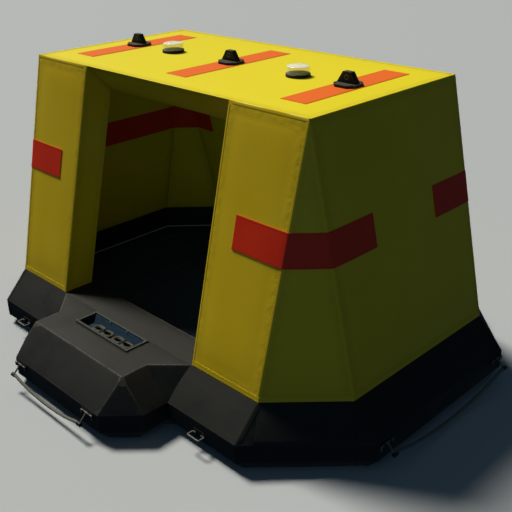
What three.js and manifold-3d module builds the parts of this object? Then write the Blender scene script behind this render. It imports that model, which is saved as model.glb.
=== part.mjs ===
// Inflatable rescue raft with a thick-walled canopy, a bevelled buoyancy ring and a boarding platform.
// Millimetres, +Z up. The doorway faces -Y. The origin is on the ground, under the middle of the whole.
import * as THREE from 'three';
import { ConvexGeometry } from 'three/addons/geometries/ConvexGeometry.js';
import { mergeVertices } from 'three/addons/utils/BufferGeometryUtils.js';
import Module from 'manifold-3d';

const wasm = await Module();
wasm.setup();

// Driving dimensions
const seam = 0.3; // gap between neighbouring pieces
const tube = { depth: 680, bevel: 255, overhang: 245 };
const foot = { x: 2188, y: 1406, cut: 516 }; // outer foot of the canopy: half sizes and corner cut
const roof = { x: 1720, y: 900, z: 2760, thick: 268 };
const wall = { side: 279, end: 310 }; // horizontal thickness of the walls along X and along Y
const door = { half: 915 };
const floor = { top: 441, thick: 200, sheetLow: 30, sheetThick: 30 };
const platform = {
  topHalf: 645, topFront: 1895, flareStart: 1649, flareHalf: 910,
  rimHalf: 885, rimFront: 2148, rimCut: 260,
};
const tray = { x: 379, back: 1418, front: 1649, rim: 24, rimHigh: 12, depth: 60, skin: 6, behind: 37 };
const hank = { length: 265, wide: 98, thick: 36, y: -1553 };
const band = { low: 1711, high: 1973, thick: 4, endX: 1180, endY: 390, innerEndX: 1225 };
const stripe = { x: 250, y: 1272, thick: 3, pitch: 1323 };
const lug = { plate: 210, corner: 50, plateHigh: 22, foot: 200, head: 78, thick: 50, high: 88, hole: 17, eye: 46 };
const light = { x: 797, radius: 104, baseHigh: 26, lensRadius: 100, lensHigh: 74, crown: 10 };
const bracket = { width: 130, reach: 74, bar: 15, foot: 34, z: 318 };
const hanger = { width: 150, bar: 14, drop: 36, z: 390, reach: 83, fall: 70, socket: 36, socketLong: 44 };
const rope = { diameter: 28, sag: 0.062, steps: 32, sides: 8 };

// Places worked out from them
const tubeTop = tube.depth;
const rimX = foot.x + tube.overhang;
const rimY = foot.y + tube.overhang;
const rimHigh = tube.depth - tube.bevel;
const canopyHigh = roof.z - tubeTop;
const slopeX = (foot.x - roof.x) / canopyHigh;
const slopeY = (foot.y - roof.y) / canopyHigh;
const footDiagonal = foot.x + foot.y - foot.cut;
const slopeDiagonal = (footDiagonal - roof.x - roof.y) / canopyHigh;
const ceiling = {
  x: roof.x + slopeX * roof.thick - wall.side,
  y: roof.y + slopeY * roof.thick - wall.end,
  z: roof.z - roof.thick,
};
const inner = { x: foot.x - wall.side, y: foot.y - wall.end };
const innerDiagonal = ceiling.x + ceiling.y + slopeDiagonal * (ceiling.z - tubeTop);
const innerCut = inner.x + inner.y - innerDiagonal;
const hangerReach = hanger.reach + hanger.socket / 2;
const frontReach = platform.rimFront + hangerReach;
const backReach = rimY + hangerReach;
const centreY = (backReach - frontReach) / 2; // the ring's own centre lies behind the origin by this much

// Finishes
const finish = (color, roughness, metalness = 0) => new THREE.MeshStandardMaterial({ color, roughness, metalness });
const finishes = {
  rubber: finish(0x2b2b27, 0.62),
  floorRubber: finish(0x14181c, 0.7),
  canopy: finish(0xe6d31f, 0.55),
  orange: finish(0xec6a24, 0.5),
  red: finish(0xb52c10, 0.5),
  moulded: finish(0x17181a, 0.5),
  pale: finish(0x6a6e6c, 0.5),
  blue: finish(0x16324c, 0.55),
  line: finish(0x6e6c64, 0.8),
  metal: finish(0x6c6b64, 0.4, 0.8),
  lens: finish(0xf2f0d8, 0.1),
};

// Solids
function toSolid(geometry) {
  const bare = geometry.index ? geometry.toNonIndexed() : geometry.clone();
  bare.deleteAttribute('normal');
  bare.deleteAttribute('uv');
  const merged = mergeVertices(bare, 1e-3);
  return new wasm.Manifold(new wasm.Mesh({
    numProp: 3,
    vertProperties: new Float32Array(merged.attributes.position.array),
    triVerts: new Uint32Array(merged.index.array),
  }));
}

function toGeometry(solid) {
  const mesh = solid.getMesh();
  const geometry = new THREE.BufferGeometry();
  geometry.setAttribute('position', new THREE.BufferAttribute(new Float32Array(mesh.vertProperties), 3));
  geometry.setIndex(new THREE.BufferAttribute(new Uint32Array(mesh.triVerts), 1));
  geometry.computeVertexNormals();
  return geometry;
}

const raft = new THREE.Group();
raft.position.y = -centreY;

function add(name, solid, material) {
  const mesh = new THREE.Mesh(solid.isBufferGeometry ? solid : toGeometry(solid), material);
  mesh.name = name;
  raft.add(mesh);
  return mesh;
}

// A block between two corners
function block(low, high) {
  const size = high.map((value, axis) => value - low[axis]);
  const geometry = new THREE.BoxGeometry(...size);
  geometry.translate(...low.map((value, axis) => value + size[axis] / 2));
  return toSolid(geometry);
}

// The closed hull of a few corners
const hull = (corners) => toSolid(new ConvexGeometry(corners.map((corner) => new THREE.Vector3(...corner))));

// A plan outline between two heights
function slab(outline, low, high) {
  const shape = new THREE.Shape(outline.map(([x, y]) => new THREE.Vector2(x, y)));
  const geometry = new THREE.ExtrudeGeometry(shape, { depth: high - low, bevelEnabled: false });
  geometry.translate(0, 0, low);
  return toSolid(geometry);
}

// A half space through three corners that keeps the side where the point `inside` lies.
// It is moved by `grow` away from that point.
function face(a, b, c, inside, grow = 0) {
  const plane = new THREE.Plane().setFromCoplanarPoints(
    new THREE.Vector3(...a), new THREE.Vector3(...b), new THREE.Vector3(...c));
  if (plane.distanceToPoint(new THREE.Vector3(...inside)) < 0) plane.negate();
  return { normal: plane.normal.toArray(), offset: -plane.constant - grow };
}

// The other side of a face, with the same gap
const behind = ({ normal, offset }) => ({ normal: normal.map((value) => -value), offset: -offset });

const trim = (solid, faces) => faces.reduce((rest, { normal, offset }) => rest.trimByPlane(normal, offset), solid);

const room = 3000;
const everywhere = () => block([-room, -room, 0], [room, room, roof.z]);
const heart = [0, 0, tubeTop];

// The corners' columns: name, side along X, side along Y
const corners = [
  { name: 'front_left', sx: -1, sy: -1 },
  { name: 'front_right', sx: 1, sy: -1 },
  { name: 'back_left', sx: -1, sy: 1 },
  { name: 'back_right', sx: 1, sy: 1 },
];

// Outer and inner faces of the canopy, each moved outwards by grow
function canopyFaces(grow, skin = 'outer') {
  const [x, y, diagonal] = skin === 'outer'
    ? [foot.x, foot.y, footDiagonal]
    : [inner.x, inner.y, innerDiagonal];
  const faces = {};
  for (const s of [-1, 1]) {
    const topX = x - slopeX * canopyHigh;
    const topY = y - slopeY * canopyHigh;
    faces[s < 0 ? 'left' : 'right'] = face(
      [s * x, -1, tubeTop], [s * x, 1, tubeTop], [s * topX, 0, roof.z], heart, grow);
    faces[s < 0 ? 'front' : 'back'] = face(
      [-1, s * y, tubeTop], [1, s * y, tubeTop], [0, s * topY, roof.z], heart, grow);
  }
  for (const { name, sx, sy } of corners) {
    const topDiagonal = diagonal - slopeDiagonal * canopyHigh;
    faces[name] = face(
      [sx * diagonal, 0, tubeTop], [0, sy * diagonal, tubeTop], [sx * topDiagonal, 0, roof.z], heart, grow);
  }
  return faces;
}

// Faces that part two neighbouring pieces. Each runs from an outer crease to the inner crease behind it.
function mitres() {
  const parts = { roof: {}, side: {}, end: {} };
  for (const s of [-1, 1]) {
    parts.roof[s < 0 ? 'left' : 'right'] = face(
      [s * roof.x, -1, roof.z], [s * roof.x, 1, roof.z], [s * ceiling.x, 0, ceiling.z], [0, 0, roof.z], -seam / 2);
    parts.roof[s < 0 ? 'front' : 'back'] = face(
      [-1, s * roof.y, roof.z], [1, s * roof.y, roof.z], [0, s * ceiling.y, ceiling.z], [0, 0, roof.z], -seam / 2);
  }
  for (const { name, sx, sy } of corners) {
    const apex = [sx * roof.x, sy * roof.y, roof.z];
    parts.side[name] = face(
      apex, [sx * foot.x, sy * (foot.y - foot.cut), tubeTop], [sx * inner.x, sy * (inner.y - innerCut), tubeTop],
      [sx * foot.x, 0, tubeTop], -seam / 2);
    parts.end[name] = face(
      apex, [sx * (foot.x - foot.cut), sy * foot.y, tubeTop], [sx * (inner.x - innerCut), sy * inner.y, tubeTop],
      [0, sy * foot.y, tubeTop], -seam / 2);
  }
  return parts;
}

// The far side of a mitre keeps the same gap from the crease's true plane
const across = (plane) => {
  const flipped = behind(plane);
  return { normal: flipped.normal, offset: flipped.offset + seam };
};

const outerFaces = canopyFaces(0);
const innerFaces = canopyFaces(0, 'inner');
const mitre = mitres();
const overTube = { normal: [0, 0, 1], offset: tubeTop + seam };

function buildCanopy() {
  const underCeiling = { normal: [0, 0, 1], offset: ceiling.z };
  add('roof', trim(everywhere(), [underCeiling, ...Object.values(mitre.roof)]), finishes.canopy);
  const sideNames = ['left', 'right'];
  for (const side of sideNames) {
    add(`wall_${side}`, trim(everywhere(), [
      overTube, outerFaces[side], behind(innerFaces[side]), across(mitre.roof[side]),
      mitre.side[`front_${side}`], mitre.side[`back_${side}`],
    ]), finishes.canopy);
  }
  for (const end of ['front', 'back']) {
    const whole = trim(everywhere(), [
      overTube, outerFaces[end], behind(innerFaces[end]), across(mitre.roof[end]),
      mitre.end[`${end}_left`], mitre.end[`${end}_right`],
    ]);
    if (end === 'back') {
      add('wall_back', whole, finishes.canopy);
    } else {
      add('wall_front_left', trim(whole, [{ normal: [-1, 0, 0], offset: door.half }]), finishes.canopy);
      add('wall_front_right', trim(whole, [{ normal: [1, 0, 0], offset: door.half }]), finishes.canopy);
    }
  }
  for (const { name } of corners) {
    add(`gusset_${name}`, trim(everywhere(), [
      overTube, outerFaces[name], behind(innerFaces[name]), across(mitre.side[name]), across(mitre.end[name]),
    ]), finishes.canopy);
  }
}

// The ring's outer skin, moved outwards by grow. It is level with the canopy's foot at top and bottom.
function ringFaces(grow = 0) {
  const faces = [];
  const levels = [[tubeTop, rimHigh], [rimHigh, tube.bevel], [tube.bevel, 0]]; // each with its upper and lower height
  for (const [high, low] of levels) {
    const reachHigh = high === tubeTop ? 0 : tube.overhang;
    const reachLow = low === 0 ? 0 : tube.overhang;
    for (const s of [-1, 1]) {
      const xHigh = s * (foot.x + reachHigh);
      const xLow = s * (foot.x + reachLow);
      const yHigh = s * (foot.y + reachHigh);
      const yLow = s * (foot.y + reachLow);
      faces.push(face([xHigh, -1, high], [xHigh, 1, high], [xLow, 0, low], [0, 0, rimHigh - 1], grow));
      faces.push(face([-1, yHigh, high], [1, yHigh, high], [0, yLow, low], [0, 0, rimHigh - 1], grow));
    }
    for (const { sx, sy } of corners) {
      const dHigh = footDiagonal + reachHigh;
      const dLow = footDiagonal + reachLow;
      faces.push(face(
        [sx * dHigh, 0, high], [0, sy * dHigh, high], [sx * dLow, 0, low], [0, 0, rimHigh - 1], grow));
    }
  }
  return faces;
}

const ringBody = (grow = 0) => trim(
  block([-room, -room, -grow], [room, room, tubeTop + grow]), ringFaces(grow));

// Upright planes through the inner and the outer crease at a corner, seen from the side or end length
function ringMitre({ sx, sy }, length) {
  const outerPoint = length === 'side'
    ? [sx * foot.x, sy * (foot.y - foot.cut)]
    : [sx * (foot.x - foot.cut), sy * foot.y];
  const innerPoint = length === 'side'
    ? [sx * inner.x, sy * (inner.y - innerCut)]
    : [sx * (inner.x - innerCut), sy * inner.y];
  const inside = length === 'side' ? [sx * foot.x, 0, 0] : [0, sy * foot.y, 0];
  return face([...outerPoint, 0], [...outerPoint, 1], [...innerPoint, 0], inside, -seam / 2);
}

function buildRing() {
  const ring = ringBody();
  const byName = Object.fromEntries(corners.map((corner) => [corner.name, corner]));
  for (const [side, s] of [['left', -1], ['right', 1]]) {
    add(`tube_${side}`, trim(ring, [
      { normal: [s, 0, 0], offset: inner.x },
      ringMitre(byName[`front_${side}`], 'side'), ringMitre(byName[`back_${side}`], 'side'),
    ]), finishes.rubber);
  }
  for (const [end, s] of [['front', -1], ['back', 1]]) {
    add(`tube_${end}`, trim(ring, [
      { normal: [0, s, 0], offset: inner.y },
      ringMitre(byName[`${end}_left`], 'end'), ringMitre(byName[`${end}_right`], 'end'),
    ]), finishes.rubber);
  }
  for (const corner of corners) {
    const { name, sx, sy } = corner;
    const inside = face(
      [sx * innerDiagonal, 0, 0], [0, sy * innerDiagonal, 0], [sx * innerDiagonal, 0, 1], [0, 0, 0]);
    add(`tube_${name}`, trim(ring, [
      behind(inside), across(ringMitre(corner, 'side')), across(ringMitre(corner, 'end')),
    ]), finishes.rubber);
  }
}

// The eight-sided plan of the space inside the ring
function wellOutline() {
  const x = inner.x - seam;
  const y = inner.y - seam;
  return [
    [x, -y + innerCut], [x, y - innerCut], [x - innerCut, y], [-x + innerCut, y],
    [-x, y - innerCut], [-x, -y + innerCut], [-x + innerCut, -y], [x - innerCut, -y],
  ];
}

function buildFloor() {
  add('floor', slab(wellOutline(), floor.top - floor.thick, floor.top), finishes.floorRubber);
  add('bottom_sheet', slab(wellOutline(), floor.sheetLow, floor.sheetLow + floor.sheetThick), finishes.floorRubber);
}

// The tray's side profile: straight at the front, parallel to the ring's bevel at the back
function trayBlock(grow, top) {
  const bevelRun = tube.overhang / tube.bevel;
  const low = tubeTop - tray.depth - grow;
  const backAt = (z) => -(foot.y + tray.behind - grow + bevelRun * (tubeTop - z));
  const front = -(tray.front - tray.rim + grow);
  const x = tray.x - tray.rim + grow;
  const profile = [[front, low], [backAt(low), low], [backAt(top), top], [front, top]];
  return hull(profile.flatMap(([y, z]) => [[-x, y, z], [x, y, z]]));
}

function buildPlatform() {
  const { topHalf, topFront, flareStart, flareHalf, rimHalf, rimFront, rimCut } = platform;
  const inside = [0, -flareStart, tubeTop / 2];
  const faces = [face([rimHalf, 0, 0], [rimHalf, 1, 0], [rimHalf, 0, 1], inside)];
  faces.push(face([-rimHalf, 0, 0], [-rimHalf, 1, 0], [-rimHalf, 0, 1], inside));
  faces.push(face([0, -rimFront, 0], [1, -rimFront, 0], [0, -rimFront, 1], inside));
  const fillets = [];
  for (const s of [-1, 1]) {
    const rimSide = [s * rimHalf, -(rimFront - rimCut)];
    const rimEnd = [s * (rimHalf - rimCut), -rimFront];
    faces.push(face([...rimSide, 0], [...rimEnd, 0], [...rimSide, 1], inside));
    for (const [edge, rim] of [[tubeTop, rimHigh], [0, tube.bevel]]) {
      const topCorner = [s * topHalf, -topFront, edge];
      faces.push(face(topCorner, [s * topHalf, 0, edge], [s * rimHalf, 0, rim], inside));
      faces.push(face(topCorner, [...rimSide, rim], [...rimEnd, rim], inside));
      if (s > 0) faces.push(face(topCorner, [0, -topFront, edge], [0, -rimFront, rim], inside));
      fillets.push(hull([
        [s * topHalf, -flareStart, edge], [s * flareHalf, -foot.y, edge], [s * rimHalf, -rimY, rim],
        [0, -flareStart, edge], [0, -foot.y, edge], [0, -rimY, rim],
      ]));
    }
  }
  const middle = trim(block([-rimHalf, -rimFront, 0], [rimHalf, -foot.y, tubeTop]), faces);
  const whole = fillets.reduce((sum, fillet) => sum.add(fillet), middle);
  const carved = whole.subtract(ringBody(seam)).subtract(trayBlock(seam, tubeTop + 50));
  add('boarding_platform', carved, finishes.rubber);
}

function buildTray() {
  const liner = trayBlock(0, tubeTop).subtract(trayBlock(-tray.skin, tubeTop + 50));
  add('tray', liner, finishes.blue);
  const low = tubeTop + seam;
  const high = low + tray.rimHigh;
  const outside = block([-tray.x, -tray.front, low], [tray.x, -tray.back, high]);
  const hole = block(
    [-tray.x + tray.rim, -tray.front + tray.rim, low - 50], [tray.x - tray.rim, -tray.back - tray.rim, high + 50]);
  add('tray_frame', outside.subtract(hole), finishes.pale);
  const z = tubeTop - tray.depth + tray.skin + seam;
  for (const [name, x] of [['hank_left', -96], ['hank_right', 186]]) {
    const radius = hank.wide / 2;
    const shape = new THREE.Shape();
    shape.absarc(-(hank.length / 2 - radius), 0, radius, Math.PI / 2, -Math.PI / 2, false);
    shape.absarc(hank.length / 2 - radius, 0, radius, -Math.PI / 2, Math.PI / 2, false);
    const geometry = new THREE.ExtrudeGeometry(shape, { depth: hank.thick, bevelEnabled: false, curveSegments: 6 });
    geometry.translate(x, hank.y, z);
    add(name, toSolid(geometry), finishes.line);
  }
}

// Outside, a band lies round each corner. Inside, one runs along each side and round both of its corners.
function buildBands() {
  const skin = (grow, which) => Object.values(canopyFaces(grow, which));
  const zone = (sx, nearX, lowY, highY) => hull([band.low, band.high].flatMap((z) => [
    [sx * nearX, lowY, z], [sx * room, lowY, z], [sx * nearX, highY, z], [sx * room, highY, z],
  ]));
  const canopyBody = trim(everywhere(), skin(seam, 'outer'));
  const cabinBody = trim(everywhere(), skin(-band.thick, 'inner'));
  for (const { name, sx, sy } of corners) {
    const around = trim(zone(sx, band.endX, sy * band.endY, sy * room), skin(band.thick, 'outer'));
    add(`band_${name}`, around.subtract(canopyBody), finishes.red);
  }
  for (const [side, sx] of [['left', -1], ['right', 1]]) {
    const around = trim(zone(sx, band.innerEndX, -room, room), skin(-seam, 'inner'));
    add(`inner_band_${side}`, around.subtract(cabinBody), finishes.red);
  }
}

// Columns: name, place along the roof as a multiple of the stripes' pitch
const stripes = [['left', -1], ['centre', 0], ['right', 1]];

function buildRoofFittings() {
  const stripeLow = roof.z + seam;
  const stripeHigh = stripeLow + stripe.thick;
  for (const [name, step] of stripes) {
    const x = step * stripe.pitch;
    add(`roof_stripe_${name}`, block(
      [x - stripe.x / 2, -stripe.y / 2, stripeLow], [x + stripe.x / 2, stripe.y / 2, stripeHigh]), finishes.orange);
    const half = lug.plate / 2;
    const plateLow = stripeHigh + seam;
    const plateHigh = plateLow + lug.plateHigh;
    const plate = slab([
      [half, -half + lug.corner], [half, half - lug.corner], [half - lug.corner, half], [-half + lug.corner, half],
      [-half, half - lug.corner], [-half, -half + lug.corner], [-half + lug.corner, -half], [half - lug.corner, -half],
    ], plateLow, plateHigh);
    const eyeProfile = new THREE.Shape([
      new THREE.Vector2(-lug.foot / 2, plateHigh - 5), new THREE.Vector2(lug.foot / 2, plateHigh - 5),
      new THREE.Vector2(lug.head / 2, plateHigh + lug.high), new THREE.Vector2(-lug.head / 2, plateHigh + lug.high),
    ]);
    const hole = new THREE.Path().absarc(0, plateHigh + lug.eye, lug.hole, 0, 2 * Math.PI, true);
    eyeProfile.holes.push(hole);
    const eye = new THREE.ExtrudeGeometry(eyeProfile, { depth: lug.thick, bevelEnabled: false, curveSegments: 12 });
    eye.rotateX(Math.PI / 2);
    eye.translate(0, lug.thick / 2, 0);
    add(`lug_${name}`, plate.add(toSolid(eye)), finishes.moulded).position.x = x;
  }
  for (const [name, s] of [['left', -1], ['right', 1]]) {
    const baseLow = roof.z + seam;
    const baseHigh = baseLow + light.baseHigh;
    const lensLow = baseHigh + seam;
    const lensHigh = lensLow + light.lensHigh;
    const lathe = (profile) => {
      const geometry = new THREE.LatheGeometry(profile.map(([r, z]) => new THREE.Vector2(r, z)), 32);
      geometry.rotateX(Math.PI / 2);
      return toSolid(geometry);
    };
    add(`light_base_${name}`, lathe([
      [0, baseLow], [light.radius, baseLow], [light.radius, baseHigh - 6], [light.radius - 6, baseHigh], [0, baseHigh],
    ]), finishes.moulded).position.x = s * light.x;
    add(`light_lens_${name}`, lathe([
      [0, lensLow], [light.lensRadius, lensLow], [light.lensRadius, lensHigh - light.crown - 8],
      [light.lensRadius - 10, lensHigh - light.crown], [light.lensRadius * 0.6, lensHigh - 3], [0, lensHigh],
    ]), finishes.lens).position.x = s * light.x;
  }
}

// A square bar through the given corners, joined from its straight lengths
function bent(points, thick) {
  const half = thick / 2;
  const cube = ([x, y, z]) => [-half, half].flatMap((dx) => [-half, half].flatMap(
    (dy) => [-half, half].map((dz) => [x + dx, y + dy, z + dz])));
  const lengths = points.slice(1).map((point, i) => hull([...cube(points[i]), ...cube(point)]));
  return lengths.reduce((sum, length) => sum.add(length));
}

// A fitting is made for a face that looks along -Y, then turned to its own face
function place(mesh, { x, y, turn }) {
  mesh.position.set(x, y, 0);
  mesh.rotation.z = turn;
}

function buildBrackets() {
  const half = bracket.width / 2;
  const on = -(seam + bracket.bar / 2);
  const out = -(bracket.reach - bracket.bar / 2);
  const loop = bent([
    [-half + bracket.foot, on, bracket.z], [-half, on, bracket.z], [-half, out, bracket.z],
    [half, out, bracket.z], [half, on, bracket.z], [half - bracket.foot, on, bracket.z],
  ], bracket.bar);
  // Columns: name, place along the face, turn of the face
  const rows = [
    ['front_left', -1300, 0], ['front_right', 1268, 0], ['back_left', -1284, Math.PI], ['back_right', 1284, Math.PI],
  ];
  for (const [name, x, turn] of rows) {
    const mesh = add(`bracket_${name}`, loop, finishes.metal);
    place(mesh, { x, y: turn ? rimY : -rimY, turn });
  }
}

// A rope's route. Columns: share of the span, share of the sag
const routeRows = [
  [0, 0], [0.025, 0], [0.06, 0.14], [0.12, 0.37], [0.2, 0.61], [0.28, 0.79], [0.36, 0.91], [0.44, 0.98], [0.5, 1],
  [0.56, 0.98], [0.64, 0.91], [0.72, 0.79], [0.8, 0.61], [0.88, 0.37], [0.94, 0.14], [0.975, 0], [1, 0],
];

// Each rope hangs between two hangers on one face. Columns: name, the hangers' places along the face,
// the face's distance from the ring's centre, turn of the face.
const ropes = [
  { name: 'front', from: -542, to: 480, reach: platform.rimFront, turn: 0 },
  { name: 'right', from: -800, to: 800, reach: rimX, turn: Math.PI / 2 },
  { name: 'back', from: -800, to: 800, reach: rimY, turn: Math.PI },
  { name: 'left', from: -800, to: 800, reach: rimX, turn: -Math.PI / 2 },
];

function buildRopes() {
  const half = hanger.width / 2;
  const on = -(seam + hanger.bar / 2);
  const end = [0, -hanger.reach, hanger.z - hanger.fall];
  const socketHalf = hanger.socketLong / 2;
  for (const { name, from, to, reach, turn } of ropes) {
    const face = { x: reach * Math.sin(turn), y: -reach * Math.cos(turn), turn };
    for (const [side, along, inwards] of [['a', from, 1], ['b', to, -1]]) {
      const bar = bent([
        [-half, on, hanger.z - hanger.drop], [-half, on, hanger.z], [half, on, hanger.z],
        [half, on, hanger.z - hanger.drop],
      ], hanger.bar);
      const stem = bent([[0, on, hanger.z], end], hanger.bar);
      const socket = new THREE.CylinderGeometry(hanger.socket / 2, hanger.socket / 2, hanger.socketLong, 12);
      socket.rotateZ(Math.PI / 2);
      socket.translate(...end);
      const solid = bar.add(stem).add(toSolid(socket)).translate([along, 0, 0]);
      place(add(`hanger_${name}_${side}`, solid, finishes.metal), face);
    }
    const first = from + socketHalf + seam;
    const span = to - from - 2 * (socketHalf + seam);
    const route = routeRows.map(([along, drop]) => new THREE.Vector3(
      first + span * along, end[1], end[2] - rope.sag * span * drop));
    const section = new THREE.Shape();
    section.absarc(0, 0, rope.diameter / 2, 0, 2 * Math.PI);
    const geometry = new THREE.ExtrudeGeometry(section, {
      extrudePath: new THREE.CatmullRomCurve3(route), steps: rope.steps, curveSegments: rope.sides / 2,
      bevelEnabled: false,
    });
    place(add(`rope_${name}`, toSolid(geometry), finishes.line), face);
  }
}

buildRing();
buildFloor();
buildPlatform();
buildTray();
buildCanopy();
buildBands();
buildRoofFittings();
buildBrackets();
buildRopes();

export default raft;
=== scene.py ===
# Inflatable rescue raft: the look of each piece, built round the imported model
import math
from functools import partial

import bmesh
import bpy
import numpy as np
from mathutils import Matrix, Vector
from mathutils.bvhtree import BVHTree


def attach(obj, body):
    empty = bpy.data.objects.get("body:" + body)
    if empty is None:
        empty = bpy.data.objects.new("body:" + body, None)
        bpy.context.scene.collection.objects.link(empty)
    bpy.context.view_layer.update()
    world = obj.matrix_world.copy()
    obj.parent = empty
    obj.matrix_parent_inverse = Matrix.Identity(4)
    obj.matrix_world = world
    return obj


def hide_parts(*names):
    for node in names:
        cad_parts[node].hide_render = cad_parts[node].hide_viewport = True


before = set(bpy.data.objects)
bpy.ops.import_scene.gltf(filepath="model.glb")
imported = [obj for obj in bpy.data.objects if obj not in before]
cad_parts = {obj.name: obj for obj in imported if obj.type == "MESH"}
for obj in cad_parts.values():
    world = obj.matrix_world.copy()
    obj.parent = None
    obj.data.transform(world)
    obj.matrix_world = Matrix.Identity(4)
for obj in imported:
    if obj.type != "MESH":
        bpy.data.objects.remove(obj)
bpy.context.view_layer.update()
scene = bpy.context.scene
upwards = Vector((0, 0, 1))

# The raft's own sizes in millimetres, with the ring's centre as their origin
raft = {
    "shiftY": 248.5, "tubeTop": 680, "footX": 2188, "footY": 1406, "footCut": 516,
    "roofX": 1720, "roofY": 900, "roofZ": 2760, "roofThick": 268, "wallSide": 279, "wallEnd": 310,
    "doorHalf": 915, "overhang": 245, "bevel": 255, "floorTop": 441,
}


def place(x, y, z):
    # millimetres from the ring's centre become metres in the frame
    return Vector((x, y + raft["shiftY"], z)) / 1000


def addObject(name, data):
    made = bpy.data.objects.new(name, data)
    scene.collection.objects.link(made)
    return made


# Camera at the photograph's own place
viewpoint = {"at": (5.1766, -4.5870, 4.2112), "elevation": 25.2548, "azimuth": 45.4569, "roll": -1.1609,
             "lens": 55.876, "sensor": 36}


def addCamera(s):
    elevation, azimuth, roll = (math.radians(s[key]) for key in ("elevation", "azimuth", "roll"))
    level = math.cos(elevation)
    back = Vector((math.sin(azimuth) * level, -math.cos(azimuth) * level, math.sin(elevation)))
    right = (-back).cross(upwards).normalized()
    up = right.cross(-back).normalized()
    sine, cosine = math.sin(roll), math.cos(roll)
    columns = (right * cosine + up * sine, up * cosine - right * sine, back)
    data = bpy.data.cameras.new("photo_camera")
    data.lens = s["lens"]
    data.sensor_width = s["sensor"]
    camera = addObject("photo_camera", data)
    camera.matrix_world = Matrix.Translation(Vector(s["at"])) @ Matrix(columns).transposed().to_4x4()
    scene.camera = camera


addCamera(viewpoint)
print("camera placed")


# Material tools
def linear(hexText):
    # an sRGB hex colour as the linear numbers that the shader works in
    shares = [int(hexText[i:i + 2], 16) / 255 for i in (1, 3, 5)]
    return [c / 12.92 if c <= 0.04045 else ((c + 0.055) / 1.055) ** 2.4 for c in shares] + [1]


def addNode(tree, kind, settings=None, links=None):
    # A kind without its prefix is a shader node. A setting is a property of the node, or the value of the
    # input with that name or number. A link comes from a socket, or from a node's result, which is the third
    # output of a Mix.
    made = tree.nodes.new(kind if "Node" in kind else "ShaderNode" + kind)
    for key, value in (settings or {}).items():
        if isinstance(key, str) and hasattr(made, key):
            setattr(made, key, value)
        else:
            made.inputs[key].default_value = linear(value) if str(value).startswith("#") else value
    for key, source in (links or {}).items():
        if isinstance(source, bpy.types.Node):
            source = source.outputs[2 if source.bl_idname == "ShaderNodeMix" else 0]
        tree.links.new(source, made.inputs[key])
    return made


def makeMaterial(name, pattern, s):
    # The pattern adds its own nodes. It gives back the shader's settings, its links, and the reliefs that lie
    # on each other, each as a node, a strength and a depth in metres.
    material = bpy.data.materials.new(name)
    material.use_nodes = True
    material.node_tree.nodes.clear()
    add = partial(addNode, material.node_tree)
    settings, links, reliefs = pattern(add, s)
    for source, strength, depth in reliefs:
        below = {"Normal": links["Normal"]} if "Normal" in links else {}
        links["Normal"] = add("Bump", {"Strength": strength, "Distance": depth}, {"Height": source, **below})
    add("OutputMaterial", links={"Surface": add("BsdfPrincipled", settings, links)})
    return material


def facingUp(add, low, full, most=1):
    # how far the surface faces up, from 0 to most
    normal = add("SeparateXYZ", links={0: add("NewGeometry").outputs["Normal"]})
    return add("MapRange", {"From Min": low, "From Max": full, "To Max": most}, {"Value": normal.outputs[2]})


def nearEdge(add, low, high):
    # 1 up to low metres from a seam or edge, and 0 from high metres on
    edge = add("Attribute", {"attribute_name": "edgeDistance"})
    return add("MapRange", {
        "interpolation_type": "SMOOTHSTEP", "From Min": low, "From Max": high, "To Min": 1, "To Max": 0},
        {"Value": edge.outputs["Fac"]})


# Coated polyester, as on rafts and tarpaulins, is a satin plastic skin that shows its woven ground. It
# puckers and soils at its seams, and splashes soil its foot. What faces up is painted paler: partly sun
# bleaching, partly painted sunlight.
# The real threads are about 1 mm apart, so the ground is drawn coarser for it to show.
# All sizes of marks are in metres.
fabricMarks = {"grain": 0.009, "patch": 0.55, "ruffle": 0.06, "seam": (0.02, 0.11), "splash": (0.68, 1.15)}
sunlitSlope = (0.75, 0.97)


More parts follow.
